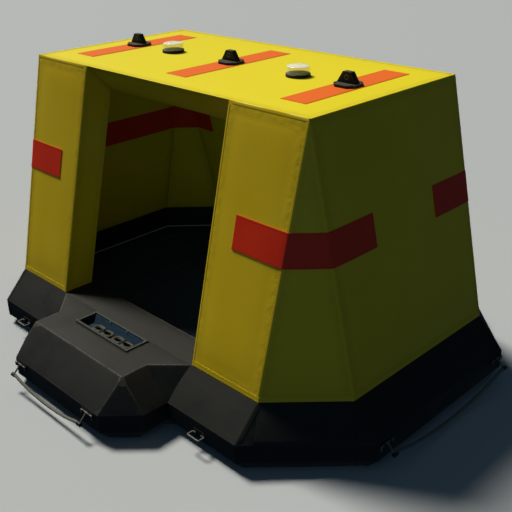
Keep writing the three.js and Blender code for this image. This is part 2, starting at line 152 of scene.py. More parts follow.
def coatedFabric(add, s):
    marks = fabricMarks
    coordinates = add("TexCoord").outputs
    spot = {"Vector": coordinates["Object"]}
    # a Wave texture repeats every pi / 10 metres at scale 1
    warp, weft = (add("TexWave", {"bands_direction": way, "Scale": math.pi / 10 / s["weave"]},
                      {"Vector": coordinates["UV"]}) for way in "XY")
    ground = add("Math", {"operation": "MAXIMUM"}, {0: warp.outputs[1], 1: weft.outputs[1]})
    grain = add("TexNoise", {"Scale": 1 / marks["grain"], "Detail": 3}, spot)
    patches = add("TexNoise", {"Scale": 1 / marks["patch"], "Detail": 4, "Roughness": 0.6}, spot)
    ruffle = add("TexNoise", {"Scale": 1 / marks["ruffle"], "Detail": 1}, spot)
    pucker = add("Math", {"operation": "MULTIPLY"}, {0: nearEdge(add, *marks["seam"]), 1: ruffle})
    fade = add("MapRange", {"From Min": 0.35, "From Max": 0.7}, {"Value": patches})
    tone = add("Mix", {"data_type": "RGBA", 6: s["colour"], 7: s["faded"]}, {0: fade})
    # faces that turn up are painted paler: partly sun bleaching, partly painted sunlight
    tone = add("Mix", {"data_type": "RGBA", 7: s.get("bleached", s["colour"])},
               {0: facingUp(add, *sunlitSlope), 6: tone})
    seamSoil = add("Math", {"operation": "MULTIPLY", 1: s["soil"]}, {0: pucker})
    height = add("SeparateXYZ", links={0: coordinates["Object"]})
    low, high = marks["splash"]
    splash = add("MapRange", {"From Min": low, "From Max": high, "To Min": s["splash"], "To Max": 0},
                 {"Value": height.outputs[2]})
    splashSoil = add("Math", {"operation": "MULTIPLY"}, {0: splash, 1: patches})
    threads = add("MapRange", {"From Min": 0.8, "To Max": s["thread"]}, {"Value": ground})
    # on fabric the dark tone mixed in here is dirt at the seams and foot, and the threads' own colour
    for soil in (seamSoil, splashSoil, threads):
        tone = add("Mix", {"data_type": "RGBA", 7: s["soiled"]}, {0: soil, 6: tone})
    gloss = add("MapRange", {"To Min": s["rough"] - 0.08, "To Max": s["rough"] + 0.1}, {"Value": grain})
    return ({"IOR": 1.5, "Specular IOR Level": s["specular"], "Coat Weight": s["coat"],
             "Coat Roughness": 0.3}, {"Base Color": tone, "Roughness": gloss},
            [(ground, 0.2, 0.0008), (grain, 0.25, 0.0015), (pucker, 0.45, 0.01)])


# Rubber-coated fabric, as on boat tubes, is dull and nearly black. Its edges are scuffed paler, most where it
# is stepped on, and a little dust lies on top.
rubberMarks = {
    # columns: size, detail, roughness of the noise
    "grain": (0.006, 4, 0.5), "patch": (0.3, 5, 0.65), "scuff": (0.03, 6, 0.7),
    "stepHeights": (0.5, 0.63), "dustSlope": (0.55, 1)}


def rubberCoating(add, s):
    marks = rubberMarks
    spot = add("TexCoord").outputs["Object"]
    grain, patches, scuffs = (
        add("TexNoise", {"Scale": 1 / size, "Detail": detail, "Roughness": rough}, {"Vector": spot})
        for size, detail, rough in (marks["grain"], marks["patch"], marks["scuff"]))
    rubbed = add("MapRange", {"From Min": 0.3, "From Max": 0.65}, {"Value": scuffs})
    height = add("SeparateXYZ", links={0: spot})
    low, high = marks["stepHeights"]
    steppedOn = add("MapRange", {"From Min": low, "From Max": high, "To Min": 0.25},
                    {"Value": height.outputs[2]})
    wear = nearEdge(add, 0, s["edgeWidth"])
    for share in (rubbed, steppedOn):
        wear = add("Math", {"operation": "MULTIPLY"}, {0: wear, 1: share})
    lying = facingUp(add, *marks["dustSlope"], s["dust"])
    dust = add("Math", {"operation": "MULTIPLY"}, {0: lying, 1: patches})
    tone = add("Mix", {"data_type": "RGBA", 6: s["colour"], 7: s["faded"]}, {0: patches})
    for key, share in (("dusty", dust), ("worn", wear)):
        tone = add("Mix", {"data_type": "RGBA", 7: s[key]}, {0: share, 6: tone})
    gloss = add("MapRange", {"From Min": 0.3, "From Max": 0.7, "To Min": s["rough"] - 0.1,
                             "To Max": s["rough"] + 0.12}, {"Value": patches})
    return ({"IOR": 1.52, "Specular IOR Level": 0.2}, {"Base Color": tone, "Roughness": gloss},
            [(grain, 0.3, 0.0012), (patches, 0.25, 0.01)])


# Moulded plastic, cast metal, thread and webbing: an even tone with a fine grain, and paler rubbed spots.
# Black plastic is painted a paler grey where it faces up: partly chalking in the sun, partly painted sunlight.
def hardSurface(add, s):
    spot = {"Vector": add("TexCoord").outputs["Object"]}
    grain = add("TexNoise", {"Scale": 1 / s["grain"], "Detail": 3}, spot)
    patches = add("TexNoise", {"Scale": 1 / s["patch"], "Detail": 5, "Roughness": 0.7}, spot)
    rubbed = add("MapRange", {"From Min": 0.45, "From Max": 0.7}, {"Value": patches})
    tone = add("Mix", {"data_type": "RGBA", 6: s["colour"], 7: s["rubbed"]}, {0: rubbed})
    # up-facing faces are painted a paler grey: partly chalking, partly painted sunlight
    if "chalked" in s:
        tone = add("Mix", {"data_type": "RGBA", 7: s["chalked"]}, {0: facingUp(add, *sunlitSlope), 6: tone})
    gloss = add("MapRange", {"To Min": s["rough"] - 0.1, "To Max": s["rough"] + 0.15}, {"Value": patches})
    return ({"IOR": 1.5, "Metallic": s.get("metallic", 0), "Specular IOR Level": s.get("specular", 0.5)},
            {"Base Color": tone, "Roughness": gloss}, [(grain, s.get("relief", 0.25), 0.0008)])


# Braided polyester is dull and a little fuzzy. The valleys between its strands are painted darker, as
# painted shade with some dirt. Its UV map runs round and along the rope in metres.
ropeMarks = {"fibre": 0.002, "patch": 0.05}


def braidedRope(add, s):
    uv = {"Vector": add("TexCoord").outputs["UV"]}
    fibres = add("TexNoise", {"Scale": 1 / ropeMarks["fibre"], "Detail": 2}, uv)
    patches = add("TexNoise", {"Scale": 1 / ropeMarks["patch"], "Detail": 3}, uv)
    strands = add("Attribute", {"attribute_name": "strandRelief"})
    tone = add("Mix", {"data_type": "RGBA", 6: s["colour"], 7: s["faded"]}, {0: patches})
    # the valleys between strands are painted darker: painted shade, with some dirt
    shadedValley = add("MapRange", {"From Max": 0.5, "To Min": 0.75, "To Max": 0},
                 {"Value": strands.outputs["Fac"]})
    tone = add("Mix", {"data_type": "RGBA", 7: s["soiled"]}, {0: shadedValley, 6: tone})
    gloss = add("MapRange", {"To Min": 0.6, "To Max": 0.85}, {"Value": patches})
    return ({"IOR": 1.5, "Specular IOR Level": 0.2, "Sheen Weight": 0.08},
            {"Base Color": tone, "Roughness": gloss}, [(fibres, 0.4, 0.0008)])


# Moulded polycarbonate is glossy, lets light through almost unbent, and is milky where frosted
def clearPlastic(add, s):
    spot = add("TexCoord").outputs["Object"]
    haze = add("TexNoise", {"Scale": 1 / s["haze"], "Detail": 4}, {"Vector": spot})
    gloss = add("MapRange", {"To Min": s["rough"], "To Max": s["rough"] + 0.12}, {"Value": haze})
    return ({"IOR": 1.58, "Alpha": s["cover"], "Base Color": s["colour"]}, {"Roughness": gloss},
            [(haze, 0.1, 0.0005)])


# bright woven cloth under a satin coat; the roof is painted paler, partly sun bleaching and partly painted
# sunlight
canopyYellow = makeMaterial("coated polyester yellow", coatedFabric, {
    "colour": "#E0BA0C", "faded": "#E4C11A", "bleached": "#E5D414", "soiled": "#86700E", "weave": 0.02,
    "thread": 0.05, "rough": 0.5, "specular": 0.3, "coat": 0.05, "soil": 0.3, "splash": 0.35})
# thicker tape whose coarser weave shows more than the canopy's
tapeFinish = {
    "weave": 0.022, "thread": 0.15, "rough": 0.5, "specular": 0.3, "coat": 0.05, "soil": 0.2, "splash": 0}
stripeOrange = makeMaterial("coated tape orange", coatedFabric, {
    "colour": "#EC6A12", "faded": "#EF7828", "soiled": "#8E3A14", **tapeFinish})
bandRed = makeMaterial("coated tape red", coatedFabric, {
    "colour": "#E22A02", "faded": "#E6340A", "soiled": "#6E1A08", **tapeFinish})
# dull dark cloth
trayBlue = makeMaterial("coated polyester navy", coatedFabric, {
    "colour": "#0C2534", "faded": "#122F40", "soiled": "#0A1820", "weave": 0.016, "thread": 0.2, "rough": 0.6,
    "specular": 0.12, "coat": 0, "soil": 0.3, "splash": 0})
# matt black tubes with pale scuffed edges, and a bluer, dustier sheet on the floor
hullRubber = makeMaterial("neoprene coated fabric", rubberCoating, {
    "colour": "#141412", "faded": "#1D1D19", "dusty": "#4E4C43", "worn": "#504E45", "rough": 0.62,
    "edgeWidth": 0.013, "dust": 0.12})
floorRubber = makeMaterial("neoprene floor sheet", rubberCoating, {
    "colour": "#232B3A", "faded": "#2B3445", "dusty": "#363C46", "worn": "#40464F", "rough": 0.62,
    "edgeWidth": 0.02, "dust": 0.3})
# half-dull plastic with a moulded grain
# black plastic's top is painted a paler grey: partly chalking, partly painted sunlight
mouldedBlack = makeMaterial("moulded ABS black", hardSurface, {
    "colour": "#0D0E0F", "rubbed": "#151617", "chalked": "#41423B", "grain": 0.0045, "patch": 0.08,
    "rough": 0.5, "specular": 0.25})
mouldedGrey = makeMaterial("moulded ABS grey", hardSurface, {
    "colour": "#363A35", "rubbed": "#42463F", "grain": 0.004, "patch": 0.06, "rough": 0.65, "specular": 0.15})
# dull grey oxide over a bright metal, brighter where it is rubbed
fittingMetal = makeMaterial("cast aluminium weathered", hardSurface, {
    "colour": "#5A5B53", "rubbed": "#6A6B62", "grain": 0.003, "patch": 0.03, "rough": 0.6, "metallic": 0.5,
    "relief": 0.35})
# a greyed rope, and a darker thin line
# each dark tone goes into the strand valleys as painted shade, with some dirt
ropeGrey = makeMaterial("braided polyester grey", braidedRope, {
    "colour": "#59594F", "faded": "#67675C", "soiled": "#272622"})
lineBeige = makeMaterial("braided polyester beige", braidedRope, {
    "colour": "#45443A", "faded": "#535146", "soiled": "#131210"})
# a clear glossy lens over a frosted cap
lensClear = makeMaterial("polycarbonate clear", clearPlastic, {
    "colour": "#FBFAF0", "rough": 0.04, "cover": 0.11, "haze": 0.02})
lensFrosted = makeMaterial("polycarbonate frosted", clearPlastic, {
    "colour": "#FBF9E8", "rough": 0.4, "cover": 0.58, "haze": 0.02})
# thread with a waxy bond, a shade off the cloth it is sewn in
threadYellow = makeMaterial("bonded thread yellow", hardSurface, {
    "colour": "#B8A419", "rubbed": "#CDB92C", "grain": 0.002, "patch": 0.05, "rough": 0.6})
threadDark = makeMaterial("bonded thread dark red", hardSurface, {
    "colour": "#7C2410", "rubbed": "#93351D", "grain": 0.002, "patch": 0.05, "rough": 0.6})
# a pale satin cord of plastic, and coarse dull webbing
pipingGrey = makeMaterial("extruded PVC piping grey", hardSurface, {
    "colour": "#AEB2AF", "rubbed": "#BCC0BC", "grain": 0.004, "patch": 0.05, "rough": 0.5})
webbingBlack = makeMaterial("woven nylon black", hardSurface, {
    "colour": "#101113", "rubbed": "#1B1C1E", "grain": 0.002, "patch": 0.02, "rough": 0.75, "relief": 0.5})
print("materials made")


# Mesh tools
def meshOf(name, solid, recalculate=False):
    # a finished bmesh as a mesh, with its faces turned outwards first where that is asked
    if recalculate:
        bmesh.ops.recalc_face_normals(solid, faces=solid.faces)
    mesh = bpy.data.meshes.new(name)
    solid.to_mesh(mesh)
    solid.free()
    return mesh


def joinedSolid(meshes):
    joined = bmesh.new()
    for mesh in meshes:
        joined.from_mesh(mesh)
    return joined


def finishPiece(name, parts, material, nodes=(), crisp=48):
    # parts is a mesh, or a list of them. Faces that meet at more than crisp degrees keep a sharp edge.
    mesh = meshOf(name, joinedSolid(parts)) if isinstance(parts, list) else parts
    piece = addObject(name, mesh)
    if not mesh.materials:
        mesh.materials.append(material)
    for polygon in mesh.polygons:
        polygon.use_smooth = True
    if crisp:
        mesh.set_sharp_from_angle(angle=math.radians(crisp))
    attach(piece, "root")
    if nodes:
        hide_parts(*nodes)
    return piece


def bakeModifiers(name, mesh, *modifiers):
    # each modifier is its kind and its settings, and their result comes back as a plain mesh
    holder = addObject(name, mesh)
    for kind, settings in modifiers:
        modifier = holder.modifiers.new(kind, kind)
        for key, value in settings.items():
            if hasattr(modifier, key):
                setattr(modifier, key, value)
            else:
                modifier[key] = value
    result = bpy.data.meshes.new_from_object(holder.evaluated_get(bpy.context.evaluated_depsgraph_get()))
    bpy.data.objects.remove(holder)
    result.name = name
    return result


def mergedCopy(node):
    # the CAD node's shape with its loose triangles merged to whole flat faces
    solid = bmesh.new()
    solid.from_mesh(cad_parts[node].data)
    bmesh.ops.remove_doubles(solid, verts=solid.verts, dist=5e-5)
    bmesh.ops.dissolve_limit(solid, angle_limit=0.01, verts=solid.verts, edges=solid.edges)
    return solid


def mappedFace(solid, uvLayer, corners, spots):
    for loop, spot in zip(solid.faces.new(corners).loops, spots):
        loop[uvLayer].uv = spot


def sweep(name, points, radius, sides, closed=False, relief=None, depth=0.1):
    # A tube along points. relief(share of a turn, length along) goes from 0, where the radius is less by the
    # depth's share, to 1, and is kept as an attribute.
    count = len(points)
    lengths = [0.0]
    for a, b in zip(points, points[1:] + points[:1]):
        lengths.append(lengths[-1] + (b - a).length)
    solid = bmesh.new()
    uvLayer = solid.loops.layers.uv.new("UVMap")
    reliefLayer = solid.verts.layers.float.new("strandRelief")
    rings, side = [], None
    for i, point in enumerate(points):
        before = points[(i - 1) % count] if closed or i else point
        after = points[(i + 1) % count] if closed or i < count - 1 else point
        tangent = (after - before).normalized()
        side = side or tangent.orthogonal().normalized()
        side = (side - tangent * side.dot(tangent)).normalized()
        other = tangent.cross(side)
        ring = []
        for j in range(sides):
            angle = 2 * math.pi * j / sides
            lift = relief(j / sides, lengths[i]) if relief else 1.0
            outwards = side * math.cos(angle) + other * math.sin(angle)
            vert = solid.verts.new(point + outwards * radius * (1 - depth + depth * lift))
            vert[reliefLayer] = lift
            ring.append(vert)
        rings.append(ring)
    around = 2 * math.pi * radius / sides
    for i in range(count if closed else count - 1):
        low, high = rings[i], rings[(i + 1) % count]
        for j in range(sides):
            k = (j + 1) % sides
            mappedFace(solid, uvLayer, (low[j], low[k], high[k], high[j]), [
                (column * around, lengths[row])
                for column, row in ((j, i), (j + 1, i), (j + 1, i + 1), (j, i + 1))])
    if not closed:
        solid.faces.new(rings[0][::-1])
        solid.faces.new(rings[-1])
    return meshOf(name, solid, recalculate=True)


def lathe(name, profile, sides, at, axis=upwards, closed=False):
    # a profile of (radius, height) in millimetres turned round an axis through a point
    turn = upwards.rotation_difference(Vector(axis)).to_matrix()
    solid = bmesh.new()
    rings = []
    for radius, height in profile:
        reach = radius / 1000
        angles = [2 * math.pi * j / sides for j in range(sides if radius else 1)]
        rings.append([solid.verts.new(at + turn @ Vector((
            reach * math.cos(angle), reach * math.sin(angle), height / 1000))) for angle in angles])
    for low, high in zip(rings, rings[1:] + rings[:1] if closed else rings[1:]):
        for j in range(sides):
            k = (j + 1) % sides
            corners = [low[j % len(low)], low[k % len(low)], high[k % len(high)], high[j % len(high)]]
            unique = list(dict.fromkeys(corners))
            if len(unique) > 2:
                solid.faces.new(unique)
    return meshOf(name, solid, recalculate=True)


def filleted(points, radius, steps=5, most=0.45):
    # the same bent line with its corners rounded, over no more than a share of the lines beside them
    rounded = [points[0]]
    for before, corner, after in zip(points, points[1:], points[2:]):
        inwards = (before - corner).normalized()
        outwards = (after - corner).normalized()
        half = inwards.angle(outwards) / 2
        shorter = min((before - corner).length, (after - corner).length)
        reach = min(radius / math.tan(half), most * shorter)
        start, end = corner + inwards * reach, corner + outwards * reach
        for step in range(steps + 1):
            share = step / steps
            rounded.append(start * (1 - share) ** 2 + corner * 2 * share * (1 - share) + end * share ** 2)
    rounded.append(points[-1])
    return rounded


def smoothLine(points, steps):
    # a Catmull-Rom line through the points
    ends = [points[0] * 2 - points[1]] + points + [points[-1] * 2 - points[-2]]
    line = []
    for a, b, c, d in zip(ends, ends[1:], ends[2:], ends[3:]):
        for step in range(steps):
            t = step / steps
            line.append(0.5 * (b * 2 + (c - a) * t + (a * 2 - b * 5 + c * 4 - d) * t ** 2 +
                               (b * 3 - a - c * 3 + d) * t ** 3))
    line.append(points[-1])
    return line


def lineLength(points):
    return sum((b - a).length for a, b in zip(points, points[1:]))


def between(a, b, gap):
    # points from a to b, no further apart than the gap
    count = max(1, math.ceil((b - a).length / gap))
    return [a.lerp(b, step / count) for step in range(count + 1)]


def evenly(points, gap):
    # the same line with points a fixed gap apart
    total = lineLength(points)
    count = max(2, round(total / gap))
    spaced = [points[0]]
    target, done = total / count, 0.0
    for a, b in zip(points, points[1:]):
        length = (b - a).length
        while len(spaced) < count and done + length >= target * len(spaced) - 1e-12:
            spaced.append(a.lerp(b, (target * len(spaced) - done) / length))
        done += length
    spaced.append(points[-1])
    return spaced


# The four straight faces of the hull that carry ropes: name, distance from the ring's centre, turn
hullFaces = {
    "front": (2148, 0), "right": (2433, math.pi / 2), "back": (1651, math.pi), "left": (2433, -math.pi / 2)}


def onFace(along, out, z, reach, turn):
    # a point beside a face of the hull: along it, out from it, and its height
    x, y = along, -(reach + out)
    return place(x * math.cos(turn) - y * math.sin(turn), x * math.sin(turn) + y * math.cos(turn), z)


def wayAlong(reach, turn):
    return (onFace(1000, 0, 0, reach, turn) - onFace(0, 0, 0, reach, turn)).normalized()


# Grab ropes come first. Each hangs between two hangers on one face of the hull.
ropeSizes = {
    "diameter": 0.028, "sag": 0.062, "z": 320, "out": 83, "socket": 22.3, "steps": 5, "sides": 24,
    "ring": 0.0025, "strands": 6, "lay": 0.066,
    # columns: share of the span, share of the sag
    "route": [
        (0, 0), (0.025, 0), (0.06, 0.14), (0.12, 0.37), (0.2, 0.61), (0.28, 0.79), (0.36, 0.91),
        (0.44, 0.98), (0.5, 1), (0.56, 0.98), (0.64, 0.91), (0.72, 0.79), (0.8, 0.61), (0.88, 0.37),
        (0.94, 0.14), (0.975, 0), (1, 0)],
    # from and to along each face
    "spans": {"front": (-542, 480), "right": (-800, 800), "back": (-800, 800), "left": (-800, 800)},
}


def strandRelief(s):
    # two sets of strands cross over and under each other round the rope
    def height(turn, along):
        a, b = (math.sin(math.pi * (s["strands"] * turn + way * along / s["lay"] * s["strands"]))
                for way in (1, -1))
        return math.sqrt(abs(a * b))
    return height


def addRopes(s):
    for name, (start, end) in s["spans"].items():
        first, span = start + s["socket"], end - start - 2 * s["socket"]
        route = [onFace(first + span * share, s["out"], s["z"] - s["sag"] * span * drop, *hullFaces[name])
                 for share, drop in s["route"]]
        line = smoothLine(route, s["steps"])
        mesh = sweep(f"grab_rope_{name}", evenly(line, s["ring"]), s["diameter"] / 2, s["sides"],
                     relief=strandRelief(s))
        rope = finishPiece(f"grab_rope_{name}", mesh, ropeGrey, [f"rope_{name}"])
        print("grab rope", name, round(lineLength(line), 3), "m")


addRopes(ropeSizes)

# Two hanks of line lie end to end in the tray. Each is wound in flat layers, and a tie draws in its waist.
hankSizes = {
    "diameter": 0.0072, "pitch": 7.8, "layerPitch": 7.7, "turns": 3, "layers": 4, "climb": 0.25,
    "halfWide": 45, "halfLong": 128.5, "y": -1553, "low": 626.6, "waist": 6, "waistWide": 40, "perTurn": 56,
    "sides": 8, "relief": 0.6, "places": {"left": -96, "right": 186},
    "tie": {"thick": 4.4, "gap": 0.5, "low": 1.2, "bend": 0.006, "sides": 8,
            "wraps": [-0.0092, -0.0046, 0, 0.0046, 0.0092]},
}


def hankLine(s, x):
    points = []
    lowest = s["low"] + s["diameter"] * 500
    straight = s["halfLong"] - s["halfWide"]
    spiralled = s["turns"] - s["climb"]
    for i in range(s["turns"] * s["layers"] * s["perTurn"] + 1):
        turned = i / s["perTurn"]
        layer = min(int(turned / s["turns"]), s["layers"] - 1)
        inLayer = turned - layer * s["turns"]
        share = min(inLayer / spiralled, 1)
        radius = s["halfWide"] - s["pitch"] * spiralled * (share if layer % 2 == 0 else 1 - share)
        # the last part of each layer climbs to the next
        rise = 0.5 - 0.5 * math.cos(math.pi * max(0, inLayer - spiralled) / s["climb"])
        if layer == s["layers"] - 1:
            rise = 0
        # once round: two straights and two round ends, by length
        bend = math.pi * radius
        lap = 4 * straight + 2 * bend
        gone = ((turned % 1) * lap + straight) % lap
        if gone < 2 * straight:
            px, py = -straight + gone, radius
        elif gone < 2 * straight + bend:
            angle = (gone - 2 * straight) / radius
            px, py = straight + radius * math.sin(angle), radius * math.cos(angle)
        elif gone < 4 * straight + bend:
            px, py = straight - (gone - 2 * straight - bend), -radius
        else:
            angle = (gone - 4 * straight - bend) / radius
            px, py = -straight - radius * math.sin(angle), -radius * math.cos(angle)
        if abs(px) < straight:
            py -= math.copysign(s["waist"] * math.exp(-(px / s["waistWide"]) ** 2), py)
        points.append(place(x + px, s["y"] + py, lowest + s["layerPitch"] * (layer + rise)))
    return points


def tieLoop(s, x):
    # the outline of the bundle at its waist, with round corners
    tie = s["tie"]
    grow = tie["gap"] + tie["thick"] / 2
    half = s["halfWide"] - s["waist"] + s["diameter"] * 500 + grow
    low = s["low"] + tie["low"]
    high = s["low"] + s["layerPitch"] * (s["layers"] - 1) + s["diameter"] * 1000 + grow
    loop = [place(x, s["y"] + y, z) for y, z in ((-half, low), (half, low), (half, high), (-half, high))]
    middle = (loop[0] + loop[1]) / 2
    return filleted([middle] + loop[1:] + [loop[0], middle], tie["bend"])[:-1]


def addHanks(s):
    for name, x in s["places"].items():
        line = hankLine(s, x)
        mesh = sweep(f"wound_line_{name}", line, s["diameter"] / 2, s["sides"])
        hank = finishPiece(f"wound_line_{name}", mesh, lineBeige, [f"hank_{name}"])
        for mark in hank.data.attributes["strandRelief"].data:
            mark.value = s["relief"]
        tie = s["tie"]
        wraps = [sweep("wrap", [spot + Vector((offset, 0, 0)) for spot in tieLoop(s, x)], tie["thick"] / 2000,
                       tie["sides"], closed=True) for offset in tie["wraps"]]
        finishPiece(f"line_tie_{name}", wraps, webbingBlack)
        print("hank", name, round(lineLength(line), 2), "m")


addHanks(hankSizes)
print("ropes and hanks made")


# Softened forms: a CAD solid whose edges are rounded and whose faces sink a little towards their seams.
# Two faces lie against each other when they are this opposite, near, within and alike in size.
touching = {"opposite": -0.999, "apart": 0.0008, "margin": 0.005, "larger": 1.2}


def visiblePlanes(names, s):
    # for each node, its flat faces, and whether a neighbour's equal face lies against each
    faces = {}
    for name in names:
        solid = mergedCopy(name)
        faces[name] = []
        for face in solid.faces:
            corners = np.array([vert.co for vert in face.verts])
            faces[name].append({
                "normal": np.array(face.normal), "offset": float(face.normal.dot(face.verts[0].co)),
                "area": face.calc_area(), "middle": corners.mean(0), "low": corners.min(0) - s["margin"],
                "high": corners.max(0) + s["margin"]})
        solid.free()
    for name, rows in faces.items():
        others = [row for other, theirs in faces.items() if other != name for row in theirs]
        for row in rows:
            row["hidden"] = any(
                other["normal"] @ row["normal"] < s["opposite"]
                and abs(other["offset"] + row["offset"]) < s["apart"]
                and row["area"] < s["larger"] * other["area"] and np.all(row["middle"] > other["low"])
                and np.all(row["middle"] < other["high"]) for other in others)
    return faces


canopyNodes = ["roof", "wall_left", "wall_right", "wall_back", "wall_front_left", "wall_front_right",
               "gusset_front_left", "gusset_front_right", "gusset_back_left", "gusset_back_right"]
ringNodes = ["tube_front", "tube_back", "tube_left", "tube_right", "tube_front_left", "tube_front_right",
             "tube_back_left", "tube_back_right"]
nodeFaces = visiblePlanes(canopyNodes + ringNodes + ["boarding_platform", "floor"], touching)


def segmentDistances(points, starts, ends):
    # distance from every point to every segment
    spans = ends - starts
    shares = np.einsum("pij,ij->pi", points[:, None, :] - starts[None], spans) / (spans ** 2).sum(1)
    nearest = starts[None] + np.clip(shares, 0, 1)[:, :, None] * spans[None]
    return np.linalg.norm(points[:, None, :] - nearest, axis=2)


# Edges that turn by less than flat, in radians, stay as they are. A vertex moves in from the faces within so
# many roundings of it. The UV map of a face goes by the CAD face that is turned most like it and lies close.
softRules = {"flat": 0.12, "roundings": 1.3, "offWeight": 20, "level": 0.9}


def softForm(name, node, s, keepSharp=None, quiet=None, extraCuts=(), dents=None):
    # keepSharp(a, b) names edges that stay as they are, and quiet(a, b) those that are eased but never worn
    solid = mergedCopy(node)
    rows = nodeFaces[node]
    solid.faces.ensure_lookup_table()
    solid.edges.index_update()
    hiddenFaces = {face.index for face, row in zip(solid.faces, rows) if row["hidden"]}
    weightLayer = solid.edges.layers.float.new("bevel_weight_edge")
    segments, openEdges = [], []
    for edge in solid.edges:
        ends = [np.array(vert.co) for vert in edge.verts]
        if len(edge.link_faces) < 2 or edge.calc_face_angle() < softRules["flat"]:
            continue
        if keepSharp and keepSharp(*ends):
            continue
        buried = sum(face.index in hiddenFaces for face in edge.link_faces)
        eased = bool(quiet and quiet(*ends))
        if buried < 2:
            segments.append(ends)
            openEdges.append(buried == 0 and edge.is_convex and not eased)
        edge[weightLayer] = s["seamShare"] if buried or eased else 1
    rounded = joinedSolid([bakeModifiers(name, meshOf(name, solid), ("BEVEL", {
        "limit_method": "WEIGHT", "width": s["rounding"], "segments": s["segments"],
        "use_clamp_overlap": True}))])

    # a fine grid of cuts gives the faces vertices to move
    corners = np.array([vert.co for vert in rounded.verts])
    low, high = corners.min(0), corners.max(0)
    cuts = [(axis, low[axis] + (high[axis] - low[axis]) * step / count)
            for axis in range(3) for count in [max(1, round((high[axis] - low[axis]) / s["grid"]))]
            for step in range(1, count)]
    for axis, at in cuts + list(extraCuts):
        normal = Vector([float(axis == k) for k in range(3)])
        bmesh.ops.bisect_plane(
            rounded, geom=rounded.verts[:] + rounded.edges[:] + rounded.faces[:], dist=2e-5,
            plane_co=normal * at, plane_no=normal)

    # each vertex near a seam moves in from the open faces that it lies on
    points = np.array([vert.co for vert in rounded.verts])
    distances = segmentDistances(points, *(np.array(side) for side in zip(*segments)))
    push = np.zeros_like(points)
    for row in rows:
        if not row["hidden"]:
            off = np.abs(points @ row["normal"] - row["offset"])
            near = np.clip(1 - off / (s["rounding"] * softRules["roundings"]), 0, 1)
            push += near[:, None] * row["normal"][None]
    push /= np.maximum(np.linalg.norm(push, axis=1), 1)[:, None]
    sunk = s["sink"] * (1 - np.prod(1 - np.exp(-(distances / s["spread"]) ** 2), axis=1))
    if dents:
        sunk = sunk + dents(points)
    moved = points - push * sunk[:, None]
    edgeLayer = rounded.verts.layers.float.new("edgeDistance")
    counted = np.array(openEdges) if s.get("wearOnly") else np.ones(len(segments), bool)
    reaches = distances[:, counted].min(1) if counted.any() else np.ones(len(points))
    for vert, spot, reach in zip(rounded.verts, moved, reaches):
        vert.co = spot
        vert[edgeLayer] = reach

    # the UV map lies on the flat face that each piece of skin came from
    uvLayer = rounded.loops.layers.uv.verify()
    for face in rounded.faces:
        facing, spot = np.array(face.normal), np.array(face.calc_center_median())
        normal = max(rows, key=lambda row: row["normal"] @ facing - softRules["offWeight"] * abs(
            row["normal"] @ spot - row["offset"]))["normal"]
        upright = abs(normal[2]) < softRules["level"]
        across = np.cross((0, 0, 1), normal) if upright else np.array((1.0, 0, 0))
        across = across / np.linalg.norm(across)
        upFace = np.cross(normal, across)
        for loop in face.loops:
            spot = np.array(loop.vert.co)
            loop[uvLayer].uv = (across @ spot, upFace @ spot)
    return meshOf(name, rounded)


# The canopy's inflated panels, the buoyancy ring, the platform, and the floor mat with channels across it
panelSizes = {"rounding": 0.012, "segments": 3, "seamShare": 0.3, "grid": 0.07, "spread": 0.11, "sink": 0.007}
tubeSizes = {"rounding": 0.03, "segments": 4, "seamShare": 0.15, "grid": 0.08, "spread": 0.09, "sink": 0.005,
             "wearOnly": True}
platformSizes = dict(tubeSizes, rounding=0.024, grid=0.07, spread=0.08, sink=0.004)
trayPocket = {"low": (-390, -1640, 600), "high": (390, -1360, 700)}
floorSizes = {"rounding": 0.02, "segments": 3, "seamShare": 1, "grid": 0.09, "spread": 0.06, "sink": 0.01,
              "channels": 15, "pitch": 0.235, "half": 0.03, "depth": 0.012, "narrow": 0.015,
              "cuts": (-1, -0.6, -0.3, 0, 0.3, 0.6, 1)}


def addSoft(name, node, sizes, material, slot, **more):
    return finishPiece(name, softForm(name, node, sizes, **more), material, [node])


def underWall(a, b, near=0.002):
    # the platform's top goes on level from this edge of the ring
    wallLine = place(0, -raft["footY"], raft["tubeTop"])
    return all(abs(end[1] - wallLine.y) < near and abs(end[2] - wallLine.z) < near for end in (a, b))


def atPocket(a, b):
    # the tray's frame sits on these edges, so they stay as they are
    low, high = place(*trayPocket["low"]), place(*trayPocket["high"])
    return all(low[k] < end[k] < high[k] for end in (a, b) for k in range(3))


def addFloor(s):
    middles = [(k - (s["channels"] - 1) / 2) * s["pitch"] for k in range(s["channels"])]
    cuts = [(0, middle + s["half"] * share) for middle in middles for share in s["cuts"]]

    def channelDents(points):
        gaps = np.abs(points[:, 0][:, None] - np.array(middles)[None]).min(1)
        return s["depth"] * np.exp(-(gaps / s["narrow"]) ** 2)

    mat = addSoft("floor_mat", "floor", s, floorRubber, "floor_rubber", extraCuts=cuts, dents=channelDents)


panels = [addSoft(f"canopy_{node}", node, panelSizes, canopyYellow, "canopy_fabric") for node in canopyNodes]
print("canopy panels made")
tubes = [addSoft(f"hull_{node}", node, tubeSizes, hullRubber, "hull_rubber", quiet=underWall)
         for node in ringNodes]
ramp = addSoft("platform_ramp", "boarding_platform", platformSizes, hullRubber, "hull_rubber",
               keepSharp=atPocket)
print("hull made")
addFloor(floorSizes)
for nodeName, finish in (("bottom_sheet", floorRubber), ("tray", trayBlue)):
    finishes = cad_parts[nodeName].data.materials
    finishes.clear()
    finishes.append(finish)
print("floor and tray made")


# Strips of tape and band that lie on the softened panels
def surfaceOf(pieces):
    joined = joinedSolid([piece.data for piece in pieces])
    tree = BVHTree.FromBMesh(joined)
    joined.free()
    return tree


canopySkin = surfaceOf(panels)
hullSkin = surfaceOf(tubes + [ramp])
stitchRows = {"yellow": [], "red": []}
bridgeRise = 0.12  # height of the bridge over a seam, as a share of its span


